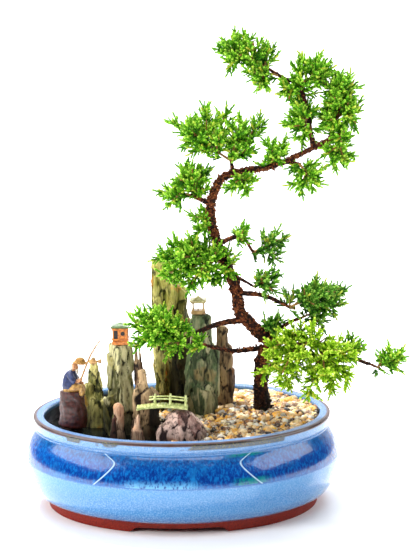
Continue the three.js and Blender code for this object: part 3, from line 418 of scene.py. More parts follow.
@dataclass(frozen=True)
class Stone:
    """Split, layered stone: upright grain, dark cracks, pale and dark plates, ochre stains, and painted shade in its
    grooves, towards its foot and in marked patches.
    """

    tone: StoneTone
    grain_along: float = 0.22
    wet: float = 0.0

    def build(self) -> bpy.types.Material:
        """Makes the material."""
        ground, light, deep, stain = (paint(*colour) for colour in self.tone.value)
        shader = Shader(f"stone_{self.tone.name.lower()}")
        place = shader.place()
        upright = shader.stretched(place, (1, 1, self.grain_along))
        streak = shader.cloud(upright, 0.3, 6, 0.62, 0.4)
        patch = shader.cloud(shader.stretched(place, (1, 1, 0.4)), 0.08, 4, 0.6)
        spot = shader.cloud(place, 0.045, 3, 0.5)
        grit = shader.cloud(place, 1.6, 5, 0.7)
        bent = shader.cloud(place, 0.06, 2)
        crack = shader.cells(shader.stretched(place, (1, 1, 0.09)), 0.11, "DISTANCE_TO_EDGE") + (bent - 0.5) * 0.1
        high = shader.attribute("raised")
        plate = shader.attribute("plate")
        # Pale and dark plates: plate follows each facet's side tilt, so on the front faces plates turned left are
        # painted pale and plates turned right dark, as painted light and shade.
        colour = shader.mix((patch * 0.6 + plate * 0.5).rise(0.42, 0.66), ground, light)
        colour = shader.mix(plate.rise(0.3, 0.05) * 0.6, colour, deep)
        colour = shader.mix(streak.rise(0.5, 0.36) * 0.75, colour, deep)
        colour = shader.mix(streak.rise(0.56, 0.68) * 0.6, colour, light)
        colour = shader.mix(spot.rise(0.57, 0.66) * streak.rise(0.3, 0.55) * 0.75, colour, stain)
        # Painted shade in the low grooves of the skin, by the stored raised height; the highest ridges are paler.
        colour = shader.mix(high.rise(0.5, 0.24), colour, deep)
        colour = shader.mix(high.rise(0.62, 0.85) * 0.4, colour, light)
        colour = shader.mix(crack.rise(0.035, 0.0) * 0.5, colour, deep)
        colour = shader.mix(grit.rise(0.55, 0.8) * 0.3, colour, light)
        x, y, z = shader.axes(place)
        # Painted shade: near black towards the foot, below about 108 mm, and over the patches that gloom marks.
        foot_and_patch_shade = (z.rise(108, 74) * patch.rise(0.3, 0.55) * 0.9).most(shader.attribute("gloom") * 0.94)
        colour = shader.mix(foot_and_patch_shade, colour, paint(10, 9, 6))
        height = streak * 0.9 + crack.rise(0.0, 0.1) * 0.25 + grit * 0.3
        return shader.finished(Base_Color=colour, Roughness=0.86 - 0.2 * grit - self.wet,
                               Normal=shader.relief(height, 1.1, 0.9), Specular_IOR_Level=0.35)


@dataclass(frozen=True)
class Bark:
    """Rough scaly juniper bark: near black in its furrows, russet on its scales, and painted shade at the trunk's foot.
    """

    def build(self) -> bpy.types.Material:
        """Makes the material."""
        shader = Shader("bark")
        place = shader.place()
        high = shader.attribute("raised")
        grain = shader.cloud(place, 0.75, 6, 0.68)
        blotch = shader.cloud(place, 0.13, 3)
        x, y, z = shader.axes(place)
        colour = shader.mix(high.rise(0.3, 0.75), paint(26, 10, 6), paint(104, 48, 26))
        colour = shader.mix(grain.rise(0.46, 0.66) * high.rise(0.3, 0.7) * 0.85, colour, paint(196, 122, 66))
        colour = shader.mix(blotch.rise(0.5, 0.7) * 0.4, colour, paint(66, 26, 14))
        colour = shader.mix(x.rise(126, 152) * z.rise(300, 320) * 0.4, colour, paint(196, 128, 58))
        # Painted shade: near black towards the trunk's foot, below about 150 mm.
        colour = shader.mix(z.rise(150, 96) * 0.86, colour, paint(9, 6, 5))
        return shader.finished(Base_Color=colour, Roughness=0.9 - 0.15 * grain,
                               Normal=shader.relief(grain + high, 0.9), Specular_IOR_Level=0.25)


@dataclass(frozen=True)
class TwigBark:
    """Smooth golden bark of the young twigs among the leaves."""

    def build(self) -> bpy.types.Material:
        """Makes the material."""
        shader = Shader("twig_bark")
        grain = shader.cloud(shader.place(), 1.1, 4, 0.6)
        colour = shader.mix(grain.rise(0.35, 0.65), paint(104, 66, 34), paint(184, 140, 66))
        return shader.finished(Base_Color=colour, Roughness=0.72 - 0.2 * grain,
                               Normal=shader.relief(grain, 0.3))


class LeafLight(Enum):
    """Lit and shaded copies of the leaf colours, as painted light and shade: leaf base, leaf middle and leaf tip."""

    SUNLIT = ((70, 122, 4), (164, 216, 22), (236, 250, 110))
    OPEN = ((24, 84, 2), (112, 192, 18), (214, 244, 100))
    SHADED = ((16, 66, 6), (84, 152, 34), (180, 220, 96))


@dataclass(frozen=True)
class Leaves:
    """Awl-shaped juniper leaves: deep green at the stem and bright at the growing tips."""

    growth: LeafLight

    def build(self) -> bpy.types.Material:
        """Makes the material, which reads the tip, tint and shade stored on the leaves."""
        base, middle, point = (paint(*colour) for colour in self.growth.value)
        shader = Shader(f"leaves_{self.growth.name.lower()}")
        tip = shader.attribute("tip")
        tint = shader.attribute("tint")
        shade = shader.attribute("shade")
        vein = shader.cloud(shader.place(), 0.9, 3)
        young = tip + (tint - 0.5) * 0.4 - shade * 0.3
        colour = shader.ramp(young, [(0.0, base), (0.38, middle), (0.85, point)])
        colour = shader.mix(tint.rise(0.93, 0.98) * 0.6, colour, paint(206, 190, 62))
        colour = shader.mix(tint.rise(0.12, 0.03) * 0.5, colour, base)
        return shader.finished(Base_Color=colour, Roughness=0.5 + 0.2 * vein, Specular_IOR_Level=0.2,
                               Normal=shader.relief(vein, 0.2, 0.5))


@dataclass(frozen=True)
class FiguredClay:
    """Painted and glazed clay of the small figures, darker where the glaze pools."""

    name: str
    ground: Point
    deep: Point
    gloss: float = 0.3

    def build(self) -> bpy.types.Material:
        """Makes the material."""
        shader = Shader(self.name)
        place = shader.place()
        wash = shader.cloud(place, 0.35, 4, 0.6)
        fleck = shader.cloud(place, 1.7, 3, 0.6)
        colour = shader.mix(wash.rise(0.6, 0.36) * 0.75, paint(*self.ground), paint(*self.deep))
        colour = shader.mix(fleck.rise(0.6, 0.75) * 0.4, colour, paint(*self.deep))
        return shader.finished(Base_Color=colour, Roughness=self.gloss + 0.25 * wash,
                               Normal=shader.relief(wash + 0.4 * fleck, 0.4, 0.6), Coat_Weight=0.3 * wash,
                               Coat_Roughness=0.1)


@dataclass(frozen=True)
class Straw:
    """Woven straw or split bamboo: fine crossing fibres."""

    name: str
    ground: Point
    deep: Point
    scale: float = 1.4

    def build(self) -> bpy.types.Material:
        """Makes the material."""
        shader = Shader(self.name)
        place = shader.place()
        fibre = shader.cloud(shader.stretched(place, (1, 1, 0.2)), self.scale, 4, 0.6)
        weave = shader.cells(place, self.scale * 0.8)
        colour = shader.mix(fibre.rise(0.35, 0.65), paint(*self.deep), paint(*self.ground))
        return shader.finished(Base_Color=colour, Roughness=0.6 + 0.2 * fibre,
                               Normal=shader.relief(fibre + weave, 0.3))


@dataclass(frozen=True)
class StudioPaper:
    """The pale, matt floor."""

    def build(self) -> bpy.types.Material:
        """Makes the material."""
        shader = Shader("studio_paper")
        tooth = shader.cloud(shader.place(), 0.02, 2)
        colour = shader.mix(tooth, paint(250, 250, 253), paint(254, 254, 255))
        return shader.finished(Base_Color=colour, Roughness=0.85, Specular_IOR_Level=0.1)


def link_mesh(name: str, mesh: bpy.types.Mesh) -> bpy.types.Object:
    """Puts a mesh in the scene as an object at the origin."""
    made = bpy.data.objects.new(name, mesh)
    bpy.context.scene.collection.objects.link(made)
    return made


def mesh_of(name: str, bm: bmesh.types.BMesh, smooth: bool) -> bpy.types.Mesh:
    """Turns a bmesh into a mesh and frees it.

    Args:
        name: The mesh's name.
        bm: The bmesh.
        smooth: Whether its faces are shaded smooth.

    Returns:
        The mesh.
    """
    for face in bm.faces:
        face.smooth = smooth
    mesh = bpy.data.meshes.new(name)
    bm.to_mesh(mesh)
    bm.free()
    return mesh


def dress(name: str, mesh: bpy.types.Mesh, materials: Sequence[bpy.types.Material],
          nodes: Sequence[str]) -> bpy.types.Object:
    """Makes a finished piece that rides on the part and stands for its CAD nodes.

    Args:
        name: The piece's name.
        mesh: Its mesh, in the frame.
        materials: Its materials, in the order of its faces' material numbers.
        nodes: The CAD nodes that it stands for.

    Returns:
        The piece.
    """
    piece = link_mesh(name, mesh)
    for material in materials:
        mesh.materials.append(material)
    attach(piece, BODY)
    if nodes:
        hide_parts(*nodes)
    mesh.calc_loop_triangles()
    LOG.info("%s: %d triangles", name, len(mesh.loop_triangles))
    return piece


def turned_to(place: Vector, direction: Vector, size: float = 1.0, roll: float = 0.0) -> Matrix:
    """A matrix that puts the origin at a place and turns +Z to a direction.

    Args:
        place: Where the origin goes.
        direction: Where +Z points.
        size: A scale in all directions.
        roll: A turn round the direction, in radians.

    Returns:
        The matrix.
    """
    turn = direction.to_track_quat("Z", "Y").to_matrix().to_4x4()
    return Matrix.Translation(place) @ turn @ Matrix.Rotation(roll, 4, "Z") @ Matrix.Scale(size, 4)


def smooth_line(points: Sequence[Vector], step: float) -> list[tuple[Vector, float]]:
    """A smooth curve through points, cut into even steps.

    Args:
        points: The points, in metres.
        step: The wanted distance between the cuts, in metres.

    Returns:
        Pairs of a place and its share of the list of points, from 0 to len(points) - 1.
    """
    padded = [2 * points[0] - points[1], *points, 2 * points[-1] - points[-2]]
    cuts: list[tuple[Vector, float]] = []
    for index in range(1, len(padded) - 2):
        a, b, c, d = padded[index - 1:index + 3]
        count = max(1, round((c - b).length / step))
        for cut in range(count):
            t = cut / count
            bent = 2 * b + (c - a) * t + (2 * a - 5 * b + 4 * c - d) * t * t
            cuts.append(((bent + (3 * b - a - 3 * c + d) * t ** 3) / 2, index - 1 + t))
    cuts.append((points[-1].copy(), float(len(points) - 1)))
    return cuts


def grow_tube(bm: bmesh.types.BMesh, stations: Sequence[tuple[Vector, float]], sides: int) -> None:
    """Adds a closed tube through stations of a place and a radius, by extruding a ring.

    Args:
        bm: The bmesh to add to.
        stations: Places and radii, in metres.
        sides: The number of sides.
    """
    places = [place for place, _ in stations]
    heading = (places[1] - places[0]).normalized()
    turn = heading.to_track_quat("Z", "Y")
    here = Matrix.LocRotScale(places[0], turn, Vector((stations[0][1],) * 3))
    ring = bmesh.ops.create_circle(bm, cap_ends=False, radius=1, segments=sides, matrix=here)["verts"]
    edges = list({edge for vertex in ring for edge in vertex.link_edges})
    bmesh.ops.contextual_create(bm, geom=edges)
    for index in range(1, len(places)):
        after = places[min(index + 1, len(places) - 1)]
        way = (after - places[index - 1]).normalized()
        turn = heading.rotation_difference(way) @ turn
        heading = way
        there = Matrix.LocRotScale(places[index], turn, Vector((stations[index][1],) * 3))
        grown = bmesh.ops.extrude_edge_only(bm, edges=edges)["geom"]
        ring = [item for item in grown if isinstance(item, bmesh.types.BMVert)]
        edges = [item for item in grown if isinstance(item, bmesh.types.BMEdge)]
        bmesh.ops.transform(bm, matrix=there @ here.inverted(), verts=ring)
        here = there
    bmesh.ops.contextual_create(bm, geom=edges)


def add_ball(bm: bmesh.types.BMesh, centre: Vector, radii: Point, detail: int = 3,
             tilt: float = 0.0) -> list[bmesh.types.BMVert]:
    """Adds an oval ball.

    Args:
        bm: The bmesh to add to.
        centre: Its middle, in metres.
        radii: Its half sizes, in millimetres.
        detail: How often its faces are divided.
        tilt: A lean forwards round Y, in radians.

    Returns:
        Its vertices.
    """
    shape = Matrix.Translation(centre) @ Matrix.Rotation(tilt, 4, "Y") @ Matrix.Diagonal((*radii, 1))
    return bmesh.ops.create_icosphere(bm, subdivisions=detail, radius=MM, matrix=shape)["verts"]


def add_block(bm: bmesh.types.BMesh, centre: Vector, sizes: Point, edge: float = 0.0,
              turn: float = 0.0) -> list[bmesh.types.BMVert]:
    """Adds a block with softened edges.

    Args:
        bm: The bmesh to add to.
        centre: Its middle, in metres.
        sizes: Its sizes, in millimetres.
        edge: The width of the softened edges, in millimetres.
        turn: A turn round Z, in radians.

    Returns:
        Its vertices.
    """
    shape = Matrix.Translation(centre) @ Matrix.Rotation(turn, 4, "Z") @ Matrix.Diagonal((*sizes, 1))
    verts = bmesh.ops.create_cube(bm, size=MM, matrix=shape)["verts"]
    if edge > 0:
        edges = list({item for vertex in verts for item in vertex.link_edges})
        made = bmesh.ops.bevel(bm, geom=edges, offset=edge * MM, affect="EDGES", segments=2, profile=0.5,
                               material=-1)
        verts = made["verts"]
    return verts


def chip(bm: bmesh.types.BMesh, place: Vector, direction: Vector) -> None:
    """Cuts off what lies beyond a plane and closes the cut."""
    everything = [*bm.verts, *bm.edges, *bm.faces]
    cut = bmesh.ops.bisect_plane(bm, geom=everything, plane_co=place, plane_no=direction, clear_outer=True)
    edges = [item for item in cut["geom_cut"] if isinstance(item, bmesh.types.BMEdge)]
    if len(edges) > 2:
        bmesh.ops.contextual_create(bm, geom=edges)


def remeshed(mesh: bpy.types.Mesh, voxel: float) -> bpy.types.Mesh:
    """One even closed skin round overlapping bodies.

    Args:
        mesh: The bodies.
        voxel: The size of the skin's faces, in millimetres.

    Returns:
        The new mesh. The old one is removed.
    """
    worker = link_mesh("worker", mesh)
    change = worker.modifiers.new("skin", "REMESH")
    change.mode = "VOXEL"
    change.voxel_size = voxel * MM
    graph = bpy.context.evaluated_depsgraph_get()
    made = bpy.data.meshes.new_from_object(worker.evaluated_get(graph))
    bpy.data.objects.remove(worker)
    bpy.data.meshes.remove(mesh)
    return made


@dataclass(frozen=True)
class Panel:
    """A soft light: its place and aim in millimetres, its sizes in metres and its power in watts.

    Mirrored says whether the glaze shows it.
    """

    name: str
    place: Point
    aim: Point
    width: float
    height: float
    power: float
    colour: Point = (1.0, 1.0, 1.0)
    mirrored: bool = True


PANELS: tuple[Panel, ...] = (
    Panel("left_window", (-1050, -300, 780), (0, 0, 120), 1.2, 0.5, 8.0, (0.96, 0.98, 1.0)),
    Panel("right_window", (1080, -300, 760), (0, 0, 120), 1.2, 0.5, 7.0, (0.96, 0.98, 1.0)),
    Panel("front_window", (-60, -800, 1500), (20, 0, 160), 1.3, 0.5, 7.0),
    Panel("wall_wash", (0, 900, 2300), (0, 2500, 500), 3.0, 0.6, 130.0),
    Panel("fill", (-1100, -800, 700), (0, 0, 200), 0.4, 0.4, 12.0, (1.0, 0.98, 0.92), False),
)


@dataclass
class Studio:
    """Camera, lights, world and floor.

    The camera stands where the photograph was taken from, worked out from the pot's ovals.
    """

    camera_place: Point = (59.43, -1277.41, 455.94)
    camera_aim: Point = (27.1, 0.0, 216.8)
    lens: float = 89.9
    roll_degrees: float = 0.87
    key_direction: Point = (0.3, -0.35, -1.0)
    key_strength: float = 3.8
    key_softness: float = 2.5
    room_colour: Colour = (0.84, 0.89, 1.0, 1.0)
    room_strength: float = 0.09
    floor_half: float = 4.0
    sweep_back: float = 1.6
    sweep_radius: float = 0.9

    def _camera(self) -> None:
        """Makes the camera."""
        data = bpy.data.cameras.new("camera")
        data.lens = self.lens
        data.sensor_fit = "AUTO"
        data.sensor_width = 36
        data.clip_start, data.clip_end = 0.05, 30
        camera = bpy.data.objects.new("camera", data)
        bpy.context.scene.collection.objects.link(camera)
        place, aim = at(*self.camera_place), at(*self.camera_aim)
        turn = (aim - place).to_track_quat("-Z", "Y").to_matrix().to_4x4()
        roll = Matrix.Rotation(math.radians(-self.roll_degrees), 4, "Z")
        camera.matrix_world = Matrix.Translation(place) @ turn @ roll
        bpy.context.scene.camera = camera

    def _panel(self, panel: "Panel") -> None:
        """Adds one rectangular area light."""
        data = bpy.data.lights.new(panel.name, "AREA")
        data.shape = "RECTANGLE"
        data.size, data.size_y = panel.width, panel.height
        data.energy = panel.power
        data.color = panel.colour
        lamp = bpy.data.objects.new(panel.name, data)
        bpy.context.scene.collection.objects.link(lamp)
        lamp.visible_glossy = panel.mirrored
        place = at(*panel.place)
        lamp.matrix_world = turned_to(place, place - at(*panel.aim))

    def _lights(self) -> None:
        """Makes the sun-like key light, the panels and the pale room round them."""
        data = bpy.data.lights.new("key", "SUN")
        data.energy = self.key_strength
        data.angle = math.radians(self.key_softness)
        data.color = (1.0, 0.985, 0.95)
        key = bpy.data.objects.new("key", data)
        bpy.context.scene.collection.objects.link(key)
        key.matrix_world = turned_to(at(0, 0, 1500), -Vector(self.key_direction))
        for panel in PANELS:
            self._panel(panel)
        world = bpy.data.worlds.new("pale_room")
        bpy.context.scene.world = world
        world.use_nodes = True
        air = world.node_tree.nodes["Background"]
        air.inputs["Color"].default_value = self.room_colour
        air.inputs["Strength"].default_value = self.room_strength

    def _floor(self) -> None:
        """Makes the paper floor, which sweeps up behind."""
        bm = bmesh.new()
        steps = 12
        line = [Vector((-self.floor_half, -self.floor_half, 0)), Vector((-self.floor_half, self.sweep_back, 0))]
        for step in range(1, steps + 1):
            angle = math.pi / 2 * step / steps
            rise = self.sweep_radius * (1 - math.cos(angle))
            line.append(Vector((-self.floor_half, self.sweep_back + self.sweep_radius * math.sin(angle), rise)))
        line.append(line[-1] + Vector((0, 0, 2.5)))
        verts = [bm.verts.new(point) for point in line]
        edges = [bm.edges.new(pair) for pair in zip(verts, verts[1:])]
        grown = bmesh.ops.extrude_edge_only(bm, edges=edges)["geom"]
        ends = [item for item in grown if isinstance(item, bmesh.types.BMVert)]
        bmesh.ops.translate(bm, verts=ends, vec=(2 * self.floor_half, 0, 0))
        bmesh.ops.recalc_face_normals(bm, faces=bm.faces[:])
        floor = link_mesh("paper_floor", mesh_of("paper_floor", bm, True))
        floor.data.materials.append(StudioPaper().build())

    def build(self) -> None:
        """Makes the whole studio."""
        self._camera()
        self._lights()
        self._floor()
        view = bpy.context.scene.view_settings
        view.view_transform = "Standard"
        view.look = "None"
        view.exposure = 0.0


@dataclass
class Pot:
    """The oval pot: foot ring with arches, crease and moulded neck, flat rim and dividing wall."""

    waist: float = 34.0
    steps: int = 160
    least_radius: float = 119.0
    arch_half: float = 38.0
    arch_height: float = 5.0
    arch_soft: float = 7.0
    wall_thickness: float = 5.0
    wall_top: float = 78.6
    drains: tuple[tuple[float, float], ...] = ((34.0, 0.0), (92.0, 0.0))
    drain_radius: float = 6.0
    wall_line: tuple[tuple[float, float], ...] = ((-12, -101), (-12, -34), (-37, -6), (-37, 97))
    profile: tuple[Point, ...] = (
        (120.0, 6.0, 0.5), (120.0, 0.0, 0.6), (129.0, 0.0, 1.0), (130.5, 11.0, 0.5), (134.5, 11.4, 0.8),
        (139.5, 14.5, 2.5), (144.6, 22.5, 6.0), (149.3, 37.0, 8.0), (151.5, 49.0, 0.5), (150.4, 56.0, 4.0),
        (146.9, 65.0, 5.0), (141.4, 73.2, 2.0), (139.6, 75.4, 0.5), (140.9, 76.7, 0.5), (140.0, 78.2, 0.4),
        (141.5, 79.8, 0.6), (142.0, 86.2, 0.8), (140.9, 88.0, 0.7), (132.4, 88.0, 0.9), (131.0, 86.2, 0.9),
        (131.0, 69.0, 4.0), (140.3, 53.0, 5.0), (139.4, 35.0, 6.0), (130.0, 14.0, 4.0),
    )

    def _rounded(self) -> list[tuple[float, float]]:
        """The profile with each corner rounded by its own distance."""
        points = [Vector((x, z)) for x, z, _ in self.profile]
        line = [tuple(points[0])]
        for index in range(1, len(points) - 1):
            before, corner, after = points[index - 1:index + 2]
            room = self.profile[index][2]
            start = corner + (before - corner).normalized() * min(room, (before - corner).length / 2.1)
            end = corner + (after - corner).normalized() * min(room, (after - corner).length / 2.1)
            cuts = 5 if room > 1.5 else 3
            for cut in range(cuts + 1):
                t = cut / cuts
                line.append(tuple(start * (1 - t) ** 2 + corner * 2 * t * (1 - t) + end * t * t))
        line.append(tuple(points[-1]))
        return line

    def _shell(self) -> bmesh.types.BMesh:
        """The turned and then drawn-in shell."""
        bm = bmesh.new()
        line = [(0.0, 6.0), *self._rounded(), (0.0, 14.0)]
        verts = [bm.verts.new((x * MM, 0, z * MM)) for x, z in line]
        edges = [bm.edges.new(pair) for pair in zip(verts, verts[1:])]
        bmesh.ops.spin(bm, geom=[*verts, *edges], axis=UP, cent=(0, 0, 0), angle=2 * math.pi,
                       steps=self.steps, use_merge=True)
        bmesh.ops.remove_doubles(bm, verts=bm.verts[:], dist=0.01 * MM)
        for vertex in bm.verts:
            radius = max(math.hypot(vertex.co.x, vertex.co.y) / MM, self.least_radius)
            vertex.co.y *= (radius - self.waist) / radius
            if vertex.co.z < self.arch_height * MM:
                share = (self.arch_half + self.arch_soft - abs(vertex.co.x) / MM) / self.arch_soft
                share = min(1.0, max(0.0, share))
                lift = self.arch_height * MM * share * share * (3 - 2 * share)
                vertex.co.z = max(vertex.co.z, lift)
        bmesh.ops.recalc_face_normals(bm, faces=bm.faces[:])
        return bm

    def _divider(self, bm: bmesh.types.BMesh) -> None:
        """The wall between the pool and the soil."""
        low = 13.0
        verts = [bm.verts.new((x * MM, y * MM, low * MM)) for x, y in self.wall_line]
        edges = [bm.edges.new(pair) for pair in zip(verts, verts[1:])]
        grown = bmesh.ops.extrude_edge_only(bm, edges=edges)["geom"]
        tops = [item for item in grown if isinstance(item, bmesh.types.BMVert)]
        faces = [item for item in grown if isinstance(item, bmesh.types.BMFace)]
        bmesh.ops.translate(bm, verts=tops, vec=(0, 0, (self.wall_top - low) * MM))
        bmesh.ops.recalc_face_normals(bm, faces=faces)
        bmesh.ops.translate(bm, verts=[*verts, *tops], vec=(-self.wall_thickness / 2 * MM, 0, 0))
        bmesh.ops.solidify(bm, geom=faces, thickness=-self.wall_thickness * MM)

    def _drilled(self, mesh: bpy.types.Mesh) -> bpy.types.Mesh:
        """The mesh with its drain holes."""
        worker = link_mesh("worker", mesh)
        drills = []
        for x, y in self.drains:
            bm = bmesh.new()
            bmesh.ops.create_cone(bm, cap_ends=True, segments=32, radius1=self.drain_radius * MM,
                                  radius2=self.drain_radius * MM, depth=24 * MM,
                                  matrix=Matrix.Translation((x * MM, y * MM, 10 * MM)))
            drills.append(link_mesh("drill", mesh_of("drill", bm, True)))
            change = worker.modifiers.new("drain", "BOOLEAN")
            change.operation = "DIFFERENCE"
            change.object = drills[-1]
            change.solver = "EXACT"
        graph = bpy.context.evaluated_depsgraph_get()
        made = bpy.data.meshes.new_from_object(worker.evaluated_get(graph))
        for spent in (worker, *drills):
            bpy.data.objects.remove(spent)
        return made

    def build(self) -> None:
        """Makes the pot."""
        drilled = self._drilled(mesh_of("shell", self._shell(), True))
        bm = bmesh.new()
        bm.from_mesh(drilled)
        self._divider(bm)
        bmesh.ops.translate(bm, verts=bm.verts[:], vec=HOME)
        dress("pot_glazed", mesh_of("pot_glazed", bm, True), [PotGlaze().build()], ["pot"])


class Side(Enum):
    """The two sides of the dividing wall."""

    POND = -1
    LAND = 1


@dataclass
class Basin:
    """The plan of the pot's inside, on either side of the dividing wall."""

    pot: Pot
    half_length: float = 131.0

    def divide_x(self, y: float) -> float:
        """The dividing wall's middle line, as x for a y, in millimetres."""
        (x0, _), (_, y1), (x2, y2), _ = self.pot.wall_line
        if y <= y1:
            return x0
        if y >= y2:
            return x2
        return x0 + (x2 - x0) * (y - y1) / (y2 - y1)

    def holds(self, x: float, y: float, side: Side, gap: float) -> bool:
        """Whether a point is in the plan, at least gap millimetres inside it."""
        half_width = self.half_length - self.pot.waist
        inside = math.hypot(x / (self.half_length - gap), y / (half_width - gap)) < 1
        from_wall = side.value * (x - self.divide_x(y)) - self.pot.wall_thickness / 2
        return inside and from_wall > gap

    def sheet(self, side: Side, level: float, cuts: int) -> bmesh.types.BMesh:
        """A level sheet that fills one side.

        Args:
            side: The side.
            level: Its height, in millimetres.
            cuts: How many rings it has.

        Returns:
            The sheet as a bmesh round the pot's middle.
        """
        bm = bmesh.new()
        bmesh.ops.create_circle(bm, cap_ends=True, cap_tris=True, radius=self.half_length * MM, segments=120)
        spokes = [edge for edge in bm.edges if any(v.co.length < 1e-6 for v in edge.verts)]
        bmesh.ops.subdivide_edges(bm, edges=spokes, cuts=cuts, use_grid_fill=True)
        for vertex in bm.verts:
            vertex.co.y *= (self.half_length - self.pot.waist) / self.half_length
            vertex.co.z = level * MM
        wall = [Vector((x, y, 0)) * MM for x, y in self.pot.wall_line]
        shift = Vector((side.value * self.pot.wall_thickness / 2 * MM, 0, 0))
        for start, end in zip(wall, wall[1:]):
            across = (end - start).cross(UP).normalized()
            everything = [*bm.verts, *bm.edges, *bm.faces]
            bmesh.ops.bisect_plane(bm, geom=everything, plane_co=start + shift, plane_no=across)
        outside = []
        for face in bm.faces:
            middle = face.calc_center_median() / MM
            if side.value * (middle.x - self.divide_x(middle.y)) < self.pot.wall_thickness / 2:
                outside.append(face)
        bmesh.ops.delete(bm, geom=outside, context="FACES")
        return bm


@dataclass
class Pond:
    """The dark pool in the pot's left half, a slab of water."""

    basin: Basin
    level: float = 72.0
    depth: float = 3.0

    def build(self) -> None:
        """Makes the water."""
        bm = self.basin.sheet(Side.POND, self.level, 14)
        top = bm.faces[:]
        grown = bmesh.ops.extrude_face_region(bm, geom=top)["geom"]
        raised = [item for item in grown if isinstance(item, bmesh.types.BMVert)]
        bmesh.ops.translate(bm, verts=raised, vec=(0, 0, -self.depth * MM))
        bmesh.ops.recalc_face_normals(bm, faces=bm.faces[:])
        bmesh.ops.translate(bm, verts=bm.verts[:], vec=HOME)
        dress("pond_surface", mesh_of("pond_surface", bm, False), [PondWater().build()], ["water"])


@dataclass
class GravelBed:
    """Loose gravel on a sandy bed, heaped a little round the trunk."""

    basin: Basin
    base: float = 79.4
    thickness: float = 3.2
    mound: float = 5.0
    mound_reach: float = 60.0
    tree_foot: tuple[float, float] = (78.0, 0.0)
    stones: int = 2300
    large_stones: int = 26
    smallest: float = 1.35
    spread: float = 1.45
    seed: int = 77

    def height(self, x: float, y: float) -> float:
        """The height of the bed at a point."""
        away = math.hypot(x - self.tree_foot[0], y - self.tree_foot[1]) / self.mound_reach
        return self.base + self.thickness + self.mound * math.exp(-away * away)

    def _stone_shapes(self, draw: random.Random) -> list[bpy.types.Mesh]:
        """Ten worn stones of about unit size, each with an even tint layer."""
        shapes = []
        for number in range(10):
            bm = bmesh.new()
            bmesh.ops.create_cube(bm, size=1.5)
            bmesh.ops.subdivide_edges(bm, edges=bm.edges[:], cuts=1, use_grid_fill=True, smooth=1.0)
            for vertex in bm.verts:
                vertex.co *= 1 + 0.34 * (noise.noise(vertex.co * 0.9 + UP * 7 * number) - 0.1)
            flat = (draw.uniform(0.85, 1.25), draw.uniform(0.7, 1.0), draw.uniform(0.55, 0.85))
            bmesh.ops.scale(bm, vec=flat, verts=bm.verts[:])
            bm.verts.layers.float.new("tint")
            shapes.append(mesh_of("stone", bm, True))
        return shapes

    def _scatter(self, bm: bmesh.types.BMesh, draw: random.Random) -> None:
        """Lays the stones on the bed."""
        shapes = self._stone_shapes(draw)
        for number in range(self.stones + self.large_stones):
            large = number < self.large_stones
            size = self.smallest + self.spread * draw.random() ** 1.6
            if large:
                size = draw.uniform(3.2, 4.6)
            while True:
                x, y = draw.uniform(-40, 131), draw.uniform(-97, 97)
                if self.basin.holds(x, y, Side.LAND, size * 0.8):
                    break
            z = self.height(x, y) + draw.uniform(-0.5, 1.3) + (0.5 if large else 0)
            shape = draw.choice(shapes)
            tilt = Matrix.Rotation(draw.uniform(-0.5, 0.5), 4, "X") @ Matrix.Rotation(draw.uniform(-0.5, 0.5), 4, "Y")
            turn = Matrix.Rotation(draw.uniform(0, math.tau), 4, "Z")
            put = Matrix.Translation(Vector((x, y, z)) * MM) @ turn @ tilt @ Matrix.Scale(size * MM, 4)
            tint = draw.uniform(0.2, 0.75) if large else draw.random()
            values = shape.attributes["tint"].data
            values.foreach_set("value", [tint] * len(values))
            shape.transform(put)
            bm.from_mesh(shape)
            shape.transform(put.inverted())

    def build(self) -> None:
        """Makes the bed and its stones."""
        draw = random.Random(self.seed)
        bm = self.basin.sheet(Side.LAND, self.base, 16)
        for vertex in bm.verts:
            x, y = vertex.co.x / MM, vertex.co.y / MM
            grain = 0.8 * noise.noise(Vector((x, y, 0)) * 0.35)
            vertex.co.z = (self.height(x, y) - 0.4 + grain) * MM
        bm.verts.layers.float.new("tint")
        for vertex in bm.verts:
            vertex[bm.verts.layers.float["tint"]] = 0.12
        bottom = bmesh.ops.extrude_face_region(bm, geom=bm.faces[:])["geom"]
        for item in bottom:
            if isinstance(item, bmesh.types.BMVert):
                item.co.z = self.base * MM
        bmesh.ops.recalc_face_normals(bm, faces=bm.faces[:])
        self._scatter(bm, draw)
        bmesh.ops.translate(bm, verts=bm.verts[:], vec=HOME)
        dress("gravel_stones", mesh_of("gravel_stones", bm, True), [Pebbles().build()], ["gravel"])


@dataclass(frozen=True)
class Slab:
    """One upright piece of a rock, in shares of the rock's box.

    Left, right, front and back run from 0 to 1 over the box. Top is the share of its height. Slope
    is how much lower the right end of the top is, and point how far the foot narrows. A seat keeps
    its flat top, because a pavilion or the fisherman stands on it.
    """

    left: float
    right: float
    front: float
    back: float
    top: float
    slope: float = 0.0
    narrow: float = 0.12
    bottom: float = 0.0
    point: float = 0.0
    seat: bool = False


